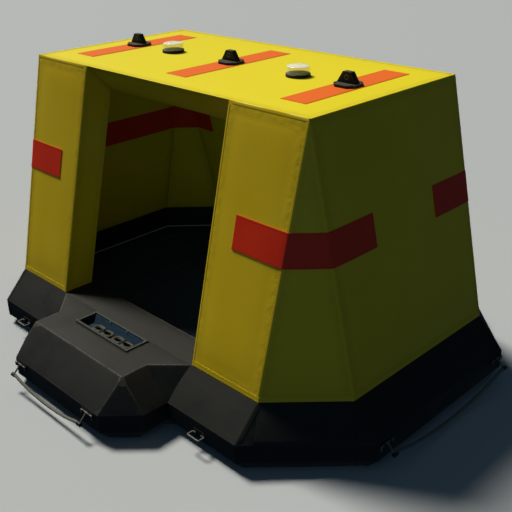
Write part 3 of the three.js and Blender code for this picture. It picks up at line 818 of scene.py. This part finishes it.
def layStrip(name, rows, s, skin, bridges=()):
    # rows of points are brought down onto the skin. The columns in bridges lie over a seam and span it.
    lift, thick = s["lift"], s["thick"]
    found = [[skin.find_nearest(point)[:2] for point in row] for row in rows]
    laid = [[spot for spot, _ in row] for row in found]
    normals = [[up for _, up in row] for row in found]
    for row, ups in zip(laid, normals):
        for k in bridges:
            up = (ups[k - 1] + ups[k + 1]).normalized()
            gap = (row[k + 1] - row[k - 1]).length
            row[k] = (row[k - 1] + row[k + 1]) / 2 + up * gap * bridgeRise
            ups[k] = up
    solid = bmesh.new()
    uvLayer = solid.loops.layers.uv.new("UVMap")
    edgeLayer = solid.verts.layers.float.new("edgeDistance")
    tops, lows = ([[solid.verts.new(spot + up * height) for spot, up in zip(row, ups)]
                   for row, ups in zip(laid, normals)] for height in (lift, lift - thick))
    for vert in solid.verts:
        vert[edgeLayer] = 1.0
    wide, long = len(rows[0]), len(rows)
    across = [lineLength(laid[0][:k + 1]) for k in range(wide)]
    along = [lineLength([row[0] for row in laid[:k + 1]]) for k in range(long)]

    def quad(corners, cells):
        mappedFace(solid, uvLayer, corners, [(along[i], across[j]) for i, j in cells])

    for i in range(long - 1):
        for j in range(wide - 1):
            cells = [(i, j), (i + 1, j), (i + 1, j + 1), (i, j + 1)]
            quad([tops[k][m] for k, m in cells], cells)
            quad([lows[k][m] for k, m in cells[::-1]], cells[::-1])
    rim = ([(i, 0) for i in range(long)] + [(long - 1, j) for j in range(1, wide)] +
           [(i, wide - 1) for i in range(long - 2, -1, -1)] + [(0, j) for j in range(wide - 2, 0, -1)])
    for (i, j), (k, m) in zip(rim, rim[1:] + rim[:1]):
        quad([tops[i][j], lows[i][j], lows[k][m], tops[k][m]], [(i, j), (k, m), (k, m), (i, j)])
    return meshOf(name, solid, recalculate=True), laid, normals


def noteStitches(colour, laid, normals, columns, lift):
    # the stitching is made later, along the noted columns of a strip
    for k in columns:
        stitchRows[colour].append([(row[k] + ups[k] * lift, ups[k]) for row, ups in zip(laid, normals)])


def innerShell():
    # the half sizes of the cabin at its foot, the cut of its corners there, and the ceiling's corner
    height = raft["roofZ"] - raft["tubeTop"]
    slopeX = (raft["footX"] - raft["roofX"]) / height
    slopeY = (raft["footY"] - raft["roofY"]) / height
    top = (raft["roofX"] + slopeX * raft["roofThick"] - raft["wallSide"],
           raft["roofY"] + slopeY * raft["roofThick"] - raft["wallEnd"], raft["roofZ"] - raft["roofThick"])
    foot = (raft["footX"] - raft["wallSide"], raft["footY"] - raft["wallEnd"])
    diagonal = (raft["footX"] + raft["footY"] - raft["footCut"] - raft["roofX"] - raft["roofY"]) / height
    return foot, foot[0] + foot[1] - top[0] - top[1] - diagonal * (top[2] - raft["tubeTop"]), top


shells = {
    "outer": ((raft["footX"], raft["footY"]), raft["footCut"], (raft["roofX"], raft["roofY"], raft["roofZ"])),
    "inner": innerShell(),
}
innerFoot, innerCut, ceiling = shells["inner"]


def crease(skin, kind, sx, sy, z):
    # kind end is the crease beside the front or back wall, and side the one beside the left or right wall
    foot, cut, top = shells[skin]
    share = (z - raft["tubeTop"]) / (top[2] - raft["tubeTop"])
    x, y = (foot[0] - cut, foot[1]) if kind == "end" else (foot[0], foot[1] - cut)
    return place(sx * (x + (top[0] - x) * share), sy * (y + (top[1] - y) * share), z)


def facePoint(skin, kind, sx, sy, along, z):
    # a point on an end wall at x = along, or on a side wall at y = along
    edge = crease(skin, kind, sx, sy, z)
    return Vector((along / 1000, edge.y, edge.z)) if kind == "end" else Vector((edge.x, along / 1000, edge.z))


# A pale piping covers the joint between the floor mat and the tube
pipingSizes = {"radius": 7, "inset": 7.5, "sunk": 1, "bend": 0.03, "sides": 10}


def addPiping(s):
    x, y = innerFoot[0] - s["inset"], innerFoot[1] - s["inset"]
    cut, z = innerCut, raft["floorTop"] + s["radius"] - s["sunk"]
    corners = [(x, y - cut), (x - cut, y), (cut - x, y), (-x, y - cut), (-x, cut - y), (cut - x, -y),
               (x - cut, -y), (x, cut - y)]
    loop = [place(px, py, z) for px, py in corners]
    middle = (loop[-1] + loop[0]) / 2
    line = filleted([middle] + loop + [middle], s["bend"])[:-1]
    mesh = sweep("floor_piping", line, s["radius"] / 1000, s["sides"], closed=True)
    finishPiece("floor_piping", mesh, pipingGrey)


addPiping(pipingSizes)

# Seam tapes over the canopy's creases
tapeSizes = {"half": 24, "stitch": 18, "inner": 9, "step": 0.07, "lift": 0.0018, "thick": 0.0015,
             "footGap": 3, "roofGap": 12, "topGap": 0.012, "jambTop": 0.985, "doorGaps": (2, 4)}


def addTape(seam, s, skin):
    # a seam is its two ends, and a point on each of the two faces that meet there
    a, b, *faces = seam
    line = (b - a).normalized()
    inA, inB = ((inner - a - line * (inner - a).dot(line)).normalized() for inner in faces)
    reaches = (s["half"], s["stitch"], s["inner"])
    rows = [[spot + inA * reach / 1000 for reach in reaches] + [spot] +
            [spot + inB * reach / 1000 for reach in reaches[::-1]] for spot in between(a, b, s["step"])]
    return layStrip("tape", rows, s, skin, bridges=(3,))


def canopySeams(s):
    roofX, roofY, roofZ, footX, footY, door = (
        raft[key] for key in ("roofX", "roofY", "roofZ", "footX", "footY", "doorHalf"))
    footZ, gap = raft["tubeTop"] + s["footGap"], s["roofGap"]
    beside, over = s["doorGaps"]
    middleRoof = place(0, 0, roofZ)
    for sx in (-1, 1):
        for sy in (-1, 1):
            corner = place(sx * roofX, sy * roofY, roofZ)
            feet = [crease("outer", kind, sx, sy, footZ) for kind in ("end", "side")]
            for foot, wall in zip(feet, (place(0, sy * footY, footZ), place(sx * footX, 0, footZ))):
                yield corner.lerp(foot, s["topGap"]), foot, (feet[0] + feet[1]) / 2, wall
    for sx in (-1, 1):
        yield (place(sx * roofX, gap - roofY, roofZ), place(sx * roofX, roofY - gap, roofZ), middleRoof,
               place(sx * footX, 0, footZ))
    # the roof's back edge, then its front edge beside the doorway and over it
    front, back, header = place(0, -footY, footZ), place(0, footY, footZ), place(0, -ceiling[1], ceiling[2])
    for y, near, far, wall in (
            (roofY, gap - roofX, roofX - gap, back), (-roofY, gap - roofX, beside - door, front),
            (-roofY, roofX - gap, door - beside, front), (-roofY, over - door, door - over, header)):
        yield place(near, y, roofZ), place(far, y, roofZ), middleRoof, wall
    # the doorway's upright edges, outside and inside
    for sx in (-1, 1):
        x = sx * door
        outerFoot, cabinFoot = place(x, -footY, footZ), place(x, -innerFoot[1], footZ)
        jamb = (outerFoot + cabinFoot) / 2
        for foot, top, y in ((outerFoot, place(x, -roofY, roofZ), footY),
                             (cabinFoot, place(x, -ceiling[1], ceiling[2]), innerFoot[1])):
            yield foot, foot.lerp(top, s["jambTop"]), place(sx * footX, -y, footZ), jamb


def addTapes(s):
    meshes = []
    for seam in canopySeams(s):
        mesh, laid, normals = addTape(seam, s, canopySkin)
        meshes.append(mesh)
        noteStitches("yellow", laid, normals, (1, 5), s["lift"])
    finishPiece("canopy_seam_tapes", meshes, canopyYellow)


addTapes(tapeSizes)

# Glued rubber tapes over the ring's mitred joints
hullTapeSizes = dict(tapeSizes, half=32, step=0.05, lift=0.0024, thick=0.002, edgeGap=4)


def addHullTapes(s):
    # columns: height, share of the overhang
    levels = [(raft["tubeTop"] - s["edgeGap"], 0), (raft["tubeTop"] - raft["bevel"], 1), (raft["bevel"], 1),
              (s["edgeGap"], 0)]
    meshes = []

    def ringCrease(kind, sx, sy, z, out):
        reach = raft["overhang"] * out
        if kind == "end":
            return place(sx * (raft["footX"] - raft["footCut"]), sy * (raft["footY"] + reach), z)
        return place(sx * (raft["footX"] + reach), sy * (raft["footY"] - raft["footCut"]), z)

    for sx, sy, (kind, other) in [(sx, sy, kinds) for sx in (-1, 1) for sy in (-1, 1)
                                  for kinds in (("end", "side"), ("side", "end"))]:
        for high, low in zip(levels, levels[1:]):
            a, b = ringCrease(kind, sx, sy, *high), ringCrease(kind, sx, sy, *low)
            corner = (a + ringCrease(other, sx, sy, *high)) / 2
            straight = Vector((0, a.y, a.z)) if kind == "end" else Vector((a.x, raft["shiftY"] / 1000, a.z))
            meshes.append(addTape((a, b, corner, straight), s, hullSkin)[0])
    finishPiece("hull_seam_tapes", meshes, hullRubber)


addHullTapes(hullTapeSizes)
print("seam tapes made")

# Red bands round the corners, outside and inside
bandSizes = {"low": 1711, "high": 1973, "rows": (0, 0.045, 0.28, 0.5, 0.72, 0.955, 1), "endX": 1180,
             "endY": 390, "innerEndX": 1225, "step": 0.06, "lift": 0.0055, "thick": 0.0045, "seam": 13}


def bandRow(corners, counts, s):
    # a line round the corners, with points just before and after each so that the seam is spanned
    row, bridges = [], []
    for number, (a, b) in enumerate(zip(corners, corners[1:])):
        inset = (b - a).normalized() * s["seam"] / 1000
        start = a + inset if number else a
        end = b - inset if number < len(corners) - 2 else b
        row += [start.lerp(end, step / counts[number]) for step in range(counts[number] + 1)]
        if number < len(corners) - 2:
            bridges.append(len(row))
            row.append(b)
    return row, bridges


def addBand(name, node, cornersAt, s):
    heights = [s["low"] + (s["high"] - s["low"]) * share for share in s["rows"]]
    middle = cornersAt(heights[3])
    counts = [max(1, math.ceil((b - a).length / s["step"])) for a, b in zip(middle, middle[1:])]
    rows = [bandRow(cornersAt(z), counts, s) for z in heights]
    mesh, laid, normals = layStrip(name, [row for row, _ in rows], s, canopySkin, rows[0][1])
    finishPiece(name, mesh, bandRed, [node])
    noteStitches("red", list(zip(*laid)), list(zip(*normals)), (1, -2), s["lift"])


def addBands(s):
    for nameX, sx in (("left", -1), ("right", 1)):
        for nameY, sy in (("front", -1), ("back", 1)):
            def outside(z):
                return [facePoint("outer", "end", sx, sy, sx * s["endX"], z),
                        crease("outer", "end", sx, sy, z), crease("outer", "side", sx, sy, z),
                        facePoint("outer", "side", sx, sy, sy * s["endY"] + raft["shiftY"], z)]
            addBand(f"corner_band_{nameY}_{nameX}", f"band_{nameY}_{nameX}", outside, s)

        def inside(z):
            # the back run mirrors the front one
            front, back = ([facePoint("inner", "end", sx, sy, sx * s["innerEndX"], z),
                            crease("inner", "end", sx, sy, z), crease("inner", "side", sx, sy, z)]
                           for sy in (-1, 1))
            return front + back[::-1]
        addBand(f"cabin_band_{nameX}", f"inner_band_{nameX}", inside, s)


addBands(bandSizes)

# A stitched hem runs round the foot of the walls
hemSizes = {"heights": (4, 12, 38, 46), "step": 0.07, "lift": 0.0026, "thick": 0.0022, "doorGap": 3}


def addHem(s):
    def footLine(z):
        # the foot's corners in order, from one side of the doorway round to the other
        doorEnd = raft["doorHalf"] + s["doorGap"]
        corners = [facePoint("outer", "end", 1, -1, doorEnd, z)]
        for sx, sy, kinds in ((1, -1, ("end", "side")), (1, 1, ("side", "end")), (-1, 1, ("end", "side")),
                              (-1, -1, ("side", "end"))):
            corners += [crease("outer", kind, sx, sy, z) for kind in kinds]
        return corners + [facePoint("outer", "end", -1, -1, -doorEnd, z)]

    lines = [footLine(raft["tubeTop"] + high) for high in s["heights"]]
    meshes = []
    for k in range(len(lines[0]) - 1):
        count = min(len(between(line[k], line[k + 1], s["step"])) for line in lines) - 1
        rows = [[line[k].lerp(line[k + 1], step / count) for line in lines] for step in range(count + 1)]
        mesh, laid, normals = layStrip("hem", rows, s, canopySkin)
        meshes.append(mesh)
        noteStitches("yellow", laid, normals, (1, 2), s["lift"])
    finishPiece("canopy_hem", meshes, canopyYellow)


addHem(hemSizes)

# Orange stripes across the roof, where the lifting lugs stand too
acrossRoof = {"left": -1323, "centre": 0, "right": 1323}
stripeSizes = {"x": 250, "y": 1272, "step": 0.06, "lift": 0.0034, "thick": 0.003, "border": 11}


def addStripes(s):
    half, border, end, z = s["x"] / 2, s["border"], s["y"] / 2, raft["roofZ"]
    offsets = (-half, border - half, -half / 3, half / 3, half - border, half)
    for name, middle in acrossRoof.items():
        lines = [between(place(middle + offset, -end, z), place(middle + offset, end, z), s["step"])
                 for offset in offsets]
        mesh, laid, normals = layStrip(f"stripe_{name}", [list(row) for row in zip(*lines)], s, canopySkin)
        finishPiece(f"stripe_{name}", mesh, stripeOrange, [f"roof_stripe_{name}"])
        noteStitches("red", laid, normals, (1, -2), s["lift"])


addStripes(stripeSizes)
print("bands and stripes made")


# Geometry Nodes lay small things on points
def scatter(name, spots, edges, layOut, sizes, material):
    # spots are points, each with the way out of the surface. layOut(add, given) gives back laid instances.
    base = bpy.data.meshes.new(name)
    base.from_pydata([spot for spot, _ in spots], edges, [])
    base.attributes.new("out", "FLOAT_VECTOR", "POINT").data.foreach_set(
        "vector", np.array([up for _, up in spots], float).ravel())
    tree = bpy.data.node_groups.new(name, "GeometryNodeTree")
    add = partial(addNode, tree)
    sockets = {label: tree.interface.new_socket(label, in_out=side, socket_type="NodeSocket" + kind)
               for label, side, kind in [("Places", "INPUT", "Geometry"), ("Result", "OUTPUT", "Geometry")] +
               [(label, "INPUT", "Float") for label in sizes]}
    laid = layOut(add, add("NodeGroupInput").outputs)
    real = add("GeometryNodeRealizeInstances", links={0: laid})
    coloured = add("GeometryNodeSetMaterial", {"Material": material}, {"Geometry": real})
    add("NodeGroupOutput", links={0: coloured})
    mesh = bakeModifiers(name, base, ("NODES", {
        "node_group": tree, **{sockets[label].identifier: size for label, size in sizes.items()}}))
    finishPiece(name, mesh, material)
    print(name, len(mesh.polygons), "faces")


# Stitches follow the noted rows. Each is a small bar laid along the row. It thins towards its ends, by the
# taper times the square of the share of its length from its middle, which leaves 0.4 at the ends.
stitchSizes = {"Pitch": 0.022, "Length": 0.014, "Wide": 0.0028, "High": 0.0016}
stitchTaper = 2.4


def layStitches(add, given):
    curve = add("GeometryNodeMeshToCurve", links={0: given["Places"]})
    spaced = add("GeometryNodeResampleCurve", {"mode": "LENGTH"}, {"Curve": curve, "Length": given["Pitch"]})
    size = add("CombineXYZ", links={0: given["Length"], 1: given["Wide"], 2: given["High"]})
    bar = add("GeometryNodeMeshCube", {"Vertices X": 4}, {"Size": size})
    spot = add("GeometryNodeInputPosition")
    reach = add("Math", {"operation": "DIVIDE"}, {0: add("SeparateXYZ", links={0: spot}), 1: given["Length"]})
    squared = add("Math", {"operation": "MULTIPLY"}, {0: reach, 1: reach})
    taper = add("Math", {"operation": "MULTIPLY_ADD", 1: -stitchTaper, 2: 1.0}, {0: squared})
    thin = add("CombineXYZ", {0: 1.0}, {1: taper, 2: taper})
    shaped = add("VectorMath", {"operation": "MULTIPLY"}, {0: spot, 1: thin})
    rounded = add("GeometryNodeSetPosition", links={"Geometry": bar, "Position": shaped})
    out = add("GeometryNodeInputNamedAttribute", {"data_type": "FLOAT_VECTOR", "Name": "out"})
    turn = add("FunctionNodeAxesToRotation", {"primary_axis": "X", "secondary_axis": "Z"}, {
        "Primary Axis": add("GeometryNodeInputTangent"), "Secondary Axis": out.outputs["Attribute"]})
    return add("GeometryNodeInstanceOnPoints", links={
        "Points": spaced, "Instance": rounded, "Rotation": turn})


def addStitches(name, rows, material):
    spots, edges = [], []
    for row in rows:
        edges += [(len(spots) + k, len(spots) + k + 1) for k in range(len(row) - 1)]
        spots += row
    scatter(name, spots, edges, layStitches, stitchSizes, material)


addStitches("canopy_stitching", stitchRows["yellow"], threadYellow)
addStitches("tape_stitching", stitchRows["red"], threadDark)
print("stitching made")


# Hard fittings: a CAD solid whose edges, from a turn of so many degrees, are broken
def addBevelled(name, node, material, width, segments, turn=28):
    solid = mergedCopy(node)
    for face in solid.faces:
        face.smooth = True
    bevel = {"limit_method": "ANGLE", "angle_limit": math.radians(turn), "width": width, "segments": segments}
    mesh = bakeModifiers(name, meshOf(name, solid), ("BEVEL", bevel),
                         ("WEIGHTED_NORMAL", {"keep_sharp": True}))
    finishPiece(name, mesh, material, [node], crisp=0)


# Screws: round heads that stand on the points
def layScrews(add, given):
    spots = add("GeometryNodeMeshToPoints", links={0: given["Places"]})
    head = add("GeometryNodeMeshCylinder", {"Vertices": 16, "Depth": 1.0, "Radius": 1.0})
    size = add("CombineXYZ", links={0: given["Radius"], 1: given["Radius"], 2: given["High"]})
    sized = add("GeometryNodeTransform", links={"Geometry": head, "Scale": size})
    out = add("GeometryNodeInputNamedAttribute", {"data_type": "FLOAT_VECTOR", "Name": "out"})
    turn = add("FunctionNodeAlignRotationToVector", {"axis": "Z"}, {"Vector": out.outputs["Attribute"]})
    return add("GeometryNodeInstanceOnPoints", links={"Points": spots, "Instance": sized, "Rotation": turn})


def addScrews(name, spots, sizes):
    scatter(name, [(place(*spot), upwards) for spot in spots], [], layScrews, sizes, fittingMetal)


# Lifting lugs on the stripes, each with a metal bushing in its eye
lugSizes = {"plateTop": 2785.6, "eye": 46, "screwX": 82, "screwY": 62, "edge": 0.003, "sides": 24,
            "screws": {"Radius": 0.0075, "High": 0.012},
            # the bushing's profile, a thin pipe with a rim at each end
            "bushing": [(12, -26.5), (20.6, -26.5), (20.6, -25.3), (16.6, -24.9), (16.6, 24.9), (20.6, 25.3),
                        (20.6, 26.5), (12, 26.5)]}


def addLugs(s):
    screws = []
    for name, x in acrossRoof.items():
        addBevelled(f"lifting_lug_{name}", f"lug_{name}", mouldedBlack, s["edge"], 2)
        screws += [(x + sx * s["screwX"], sy * s["screwY"], s["plateTop"])
                   for sx in (-1, 1) for sy in (-1, 1)]
        eye = place(x, 0, s["plateTop"] + s["eye"])
        mesh = lathe(f"lug_bushing_{name}", s["bushing"], s["sides"], eye, (0, 1, 0), closed=True)
        finishPiece(f"lug_bushing_{name}", mesh, fittingMetal)
    addScrews("lug_screws", screws, s["screws"])


addLugs(lugSizes)

# Beacon lights: a grooved dish, a clear domed shell on it, and a frosted cap inside the shell
lightSizes = {"x": 797, "radius": 104, "baseLow": 2760.3, "baseHigh": 2786.3, "lensLow": 2786.6,
              "lensRadius": 100, "lensHigh": 2860.6, "wall": 4, "sides": 64, "capSides": 48}


def addLights(s):
    radius, low, high = s["radius"], s["baseLow"], s["baseHigh"]
    lens, foot, top, wall = s["lensRadius"], s["lensLow"], s["lensHigh"], s["wall"]
    dish = [(0, low), (radius - 3, low), (radius, low + 2), (radius, low + 8), (radius - 3, low + 10),
            (radius - 3, low + 16), (radius, low + 18), (radius, high - 6), (radius - 1.5, high - 2),
            (radius - 6, high), (0, high)]
    shell = [(lens - wall, foot), (lens, foot), (lens, top - 20), (lens - 3, top - 13), (lens - 10, top - 9),
             (lens * 0.6, top - 3), (lens * 0.3, top - 0.6), (0, top), (0, top - wall),
             (lens * 0.3, top - wall - 0.6), (lens * 0.6, top - 3 - wall), (lens - 11, top - 9 - wall),
             (lens - wall - 2, top - 20), (lens - wall, top - 26)]
    cap = [(0, top - 13), (lens * 0.6, top - 13.5), (lens - wall - 8, top - 18), (lens - wall - 4, top - 18),
           (lens - wall - 4, top - 16), (lens * 0.6, top - 9.5), (0, top - 8)]
    for side, sx in (("left", -1), ("right", 1)):
        for name, profile, sides, material, slot, nodes in (
                ("light_dish", dish, s["sides"], mouldedBlack, "moulded_black", [f"light_base_{side}"]),
                ("light_lens_clear", shell, s["sides"], lensClear, "lens", [f"light_lens_{side}"]),
                ("light_cap", cap, s["capSides"], lensFrosted, "lens", [])):
            mesh = lathe(f"{name}_{side}", profile, sides, place(sx * s["x"], 0, 0), closed=profile is shell)
            finishPiece(f"{name}_{side}", mesh, material, nodes)


addLights(lightSizes)

# Rubber patches glued to the hull carry the fittings, and webbing keepers hold their bars down
patchSizes = {"lift": 0.0032, "thick": 0.003, "cut": 16}
keeperSizes = {"half": 9, "thick": 1.4, "clear": 0.2, "tail": 22, "tuck": 16.5, "arc": 9, "from": -20,
               "swing": 220}


def patchOn(along, z, halfLong, halfHigh, reach, turn):
    # an oblong with its four corners cut off
    s = patchSizes
    rows = []
    for x in (-halfLong, s["cut"] - halfLong, -halfLong / 3, halfLong / 3, halfLong - s["cut"], halfLong):
        high = halfHigh - s["cut"] if abs(x) == halfLong else halfHigh
        rows.append([onFace(along + x, 0, z + high * share, reach, turn) for share in (-1, -0.5, 0, 0.5, 1)])
    return layStrip("patch", rows, s, hullSkin)[0]


def keeperOver(along, z, on, bar, reach, turn):
    # a strap from the patch over the bar and down to the patch again
    s = keeperSizes
    around = bar / 2 + s["thick"] / 2 + s["clear"]

    def onPatch(height):
        spot, up, _, _ = hullSkin.find_nearest(onFace(along, 0, height, reach, turn))
        return spot + up * (patchSizes["lift"] + s["thick"] / 2000)

    line = [onPatch(z + s["tail"]), onPatch(z + s["tuck"])]
    for step in range(s["arc"] + 1):
        angle = math.radians(s["from"] + s["swing"] * step / s["arc"])
        line.append(onFace(along, on + around * math.sin(angle), z + around * math.cos(angle), reach, turn))
    line += [onPatch(z - s["tuck"]), onPatch(z - s["tail"])]
    across = wayAlong(reach, turn)
    side = across * s["half"] / 1000
    solid = bmesh.new()
    rings = []
    for i, spot in enumerate(line):
        tangent = (line[min(i + 1, len(line) - 1)] - line[max(i - 1, 0)]).normalized()
        up = tangent.cross(across).normalized() * s["thick"] / 2000
        rings.append([solid.verts.new(spot + side * a + up * b)
                      for a, b in ((-1, -1), (1, -1), (1, 1), (-1, 1))])
    for low, high in zip(rings, rings[1:]):
        for j in range(4):
            solid.faces.new((low[j], low[(j + 1) % 4], high[(j + 1) % 4], high[j]))
    solid.faces.new(rings[0])
    solid.faces.new(rings[-1])
    return meshOf("keeper", solid, recalculate=True)


# Metal grab brackets and the rope's hangers: round bar along the CAD line
bracketSizes = {"width": 130, "reach": 74, "bar": 15, "gap": 0.4, "foot": 34, "z": 318, "bend": 0.011,
                "sides": 16, "keeper": 43, "patch": (84, 32), "patchZ": 318,
                # columns: along the face, turn of the face
                "places": {"front_left": (-1300, 0), "front_right": (1268, 0), "back_left": (1284, math.pi),
                           "back_right": (-1284, math.pi)}}
hangerSizes = {"width": 150, "bar": 14, "gap": 0.4, "drop": 36, "z": 390, "reach": 83, "fall": 70,
               "bend": 0.012, "sides": 16, "step": 0.01, "keeper": 38, "patch": (98, 34), "patchZ": 375,
               # profiles of the sleeve on a rope's end and of the collar on the bar
               "sleeve": [(0, -22), (15, -22), (18, -19), (18, -14), (16, -12), (16, 12), (18, 14), (18, 19),
                          (15, 22), (0, 22)], "sleeveSides": 32, "collarSides": 24,
               "collar": [(0, -9), (9.5, -9), (10.5, -6), (10.5, 6), (9.5, 9), (0, 9)]}
patches, keepers, sleeves = [], [], []


def hold(s, along, on, face):
    # the patch under a fitting, and the two keepers over its bar
    patches.append(patchOn(along, s["patchZ"], *s["patch"], *face))
    for x in (-s["keeper"], s["keeper"]):
        keepers.append(keeperOver(along + x, s["z"], on, s["bar"], *face))


def roundBar(s, points, face, bend=None):
    # a bar through points given as along, out and height
    line = [onFace(*point, *face) for point in points]
    line = filleted(line, bend) if bend else between(*line, s["step"])
    return sweep("bar", line, s["bar"] / 2000, s["sides"])


def addBrackets(s):
    half, on, out = s["width"] / 2, s["gap"] + s["bar"] / 2, s["reach"] - s["bar"] / 2
    for name, (along, turn) in s["places"].items():
        face = (raft["footY"] + raft["overhang"], turn)
        points = [(along + x, depth, s["z"]) for x, depth in (
            (s["foot"] - half, on), (-half, on), (-half, out), (half, out), (half, on),
            (half - s["foot"], on))]
        finishPiece(f"grab_bracket_{name}", roundBar(s, points, face, s["bend"]), fittingMetal,
                    [f"bracket_{name}"])
        hold(s, along, on, face)


def addHangers(s):
    half, on = s["width"] / 2, s["gap"] + s["bar"] / 2
    top, low = s["z"], s["z"] - s["drop"]
    for name, ends in ropeSizes["spans"].items():
        face = hullFaces[name]
        for side, along in zip("ab", ends):
            middle, tip = (along, on, top), (along, s["reach"], top - s["fall"])
            corners = [(along + x, on, z) for x, z in ((-half, low), (-half, top), (half, top), (half, low))]
            whole = [roundBar(s, corners, face, s["bend"]), roundBar(s, [middle, tip], face),
                     lathe("collar", s["collar"], s["collarSides"], onFace(*middle, *face), wayAlong(*face))]
            sleeves.append(
                lathe("sleeve", s["sleeve"], s["sleeveSides"], onFace(*tip, *face), wayAlong(*face)))
            finishPiece(f"rope_hanger_{name}_{side}", whole, fittingMetal, [f"hanger_{name}_{side}"])
            hold(s, along, on, face)


addBrackets(bracketSizes)
addHangers(hangerSizes)
finishPiece("rope_sleeves", sleeves, mouldedBlack)
finishPiece("fitting_patches", patches, hullRubber)
finishPiece("fitting_keepers", keepers, webbingBlack)

# The tray's grey frame and its screws
frameSizes = {"x": 367, "back": -1455, "front": -1637, "top": 692.3, "edge": 0.003,
              "screws": {"Radius": 0.006, "High": 0.005}}


def addTrayFrame(s):
    addBevelled("tray_surround", "tray_frame", mouldedGrey, s["edge"], 3)
    addScrews("tray_screws", [(x, y, s["top"]) for x in (-s["x"], -s["x"] / 3, s["x"] / 3, s["x"])
                              for y in (s["front"], s["back"])], s["screws"])


addTrayFrame(frameSizes)
print("fittings made")

# Floor, at the waterline, and light: a broad lamp from above and the left, a weak cool one from the front,
# and a dim cool sky. It leaves the right side dark and the front in half shade, as in the photograph.
# A dim lamp in the cabin stands for the sky's light there.
studio = {"waterline": 0.168, "half": 90, "floor": "#A7ABAD", "rough": 0.85, "sky": "#99C4EA",
          "skyStrength": 0.09, "lampsAway": 8,
          # a lamp is a sun that shines from a direction, or a ball at a place in the cabin
          "lamps": {
              "key": {"from": (-0.55, 0, 0.83), "power": 4.1, "spread": 15, "colour": "#FFFAF0"},
              "fill": {"from": (0.48, -0.86, 0.12), "power": 0.18, "spread": 60, "colour": "#A8D8FF"},
              "cabin": {"at": (0, 0, 1600), "power": 1.3, "radius": 0.4, "colour": "#99FFF0"}}}


def plainFloor(add, s):
    return {"Base Color": s["floor"], "Roughness": s["rough"]}, {}, []


def addStage(s):
    corners = [(x * s["half"], y * s["half"], s["waterline"]) for x, y in ((-1, -1), (1, -1), (1, 1), (-1, 1))]
    mesh = bpy.data.meshes.new("studio_floor")
    mesh.from_pydata(corners, [], [(0, 1, 2, 3)])
    mesh.materials.append(makeMaterial("studio floor", plainFloor, s))
    floor = addObject("studio_floor", mesh)
    # the floor shows and takes shadows, but throws no light back on the raft's dark sides
    floor.visible_diffuse = False
    floor.visible_glossy = False
    world = bpy.data.worlds.new("studio")
    world.use_nodes = True
    backdrop = world.node_tree.nodes["Background"]
    backdrop.inputs["Color"].default_value = linear(s["sky"])
    backdrop.inputs["Strength"].default_value = s["skyStrength"]
    scene.world = world
    for name, lamp in s["lamps"].items():
        data = bpy.data.lights.new(name, "SUN" if "from" in lamp else "POINT")
        data.energy = lamp["power"]
        data.color = linear(lamp["colour"])[:3]
        light = addObject(name, data)
        if "from" in lamp:
            data.angle = math.radians(lamp["spread"])
            light.location = Vector(lamp["from"]) * s["lampsAway"]
            light.rotation_euler = (-Vector(lamp["from"])).to_track_quat("-Z", "Y").to_euler()
        else:
            data.shadow_soft_size = lamp["radius"]
            light.location = place(*lamp["at"])
    scene.view_settings.view_transform = "Standard"


addStage(studio)
print("stage and lights placed")
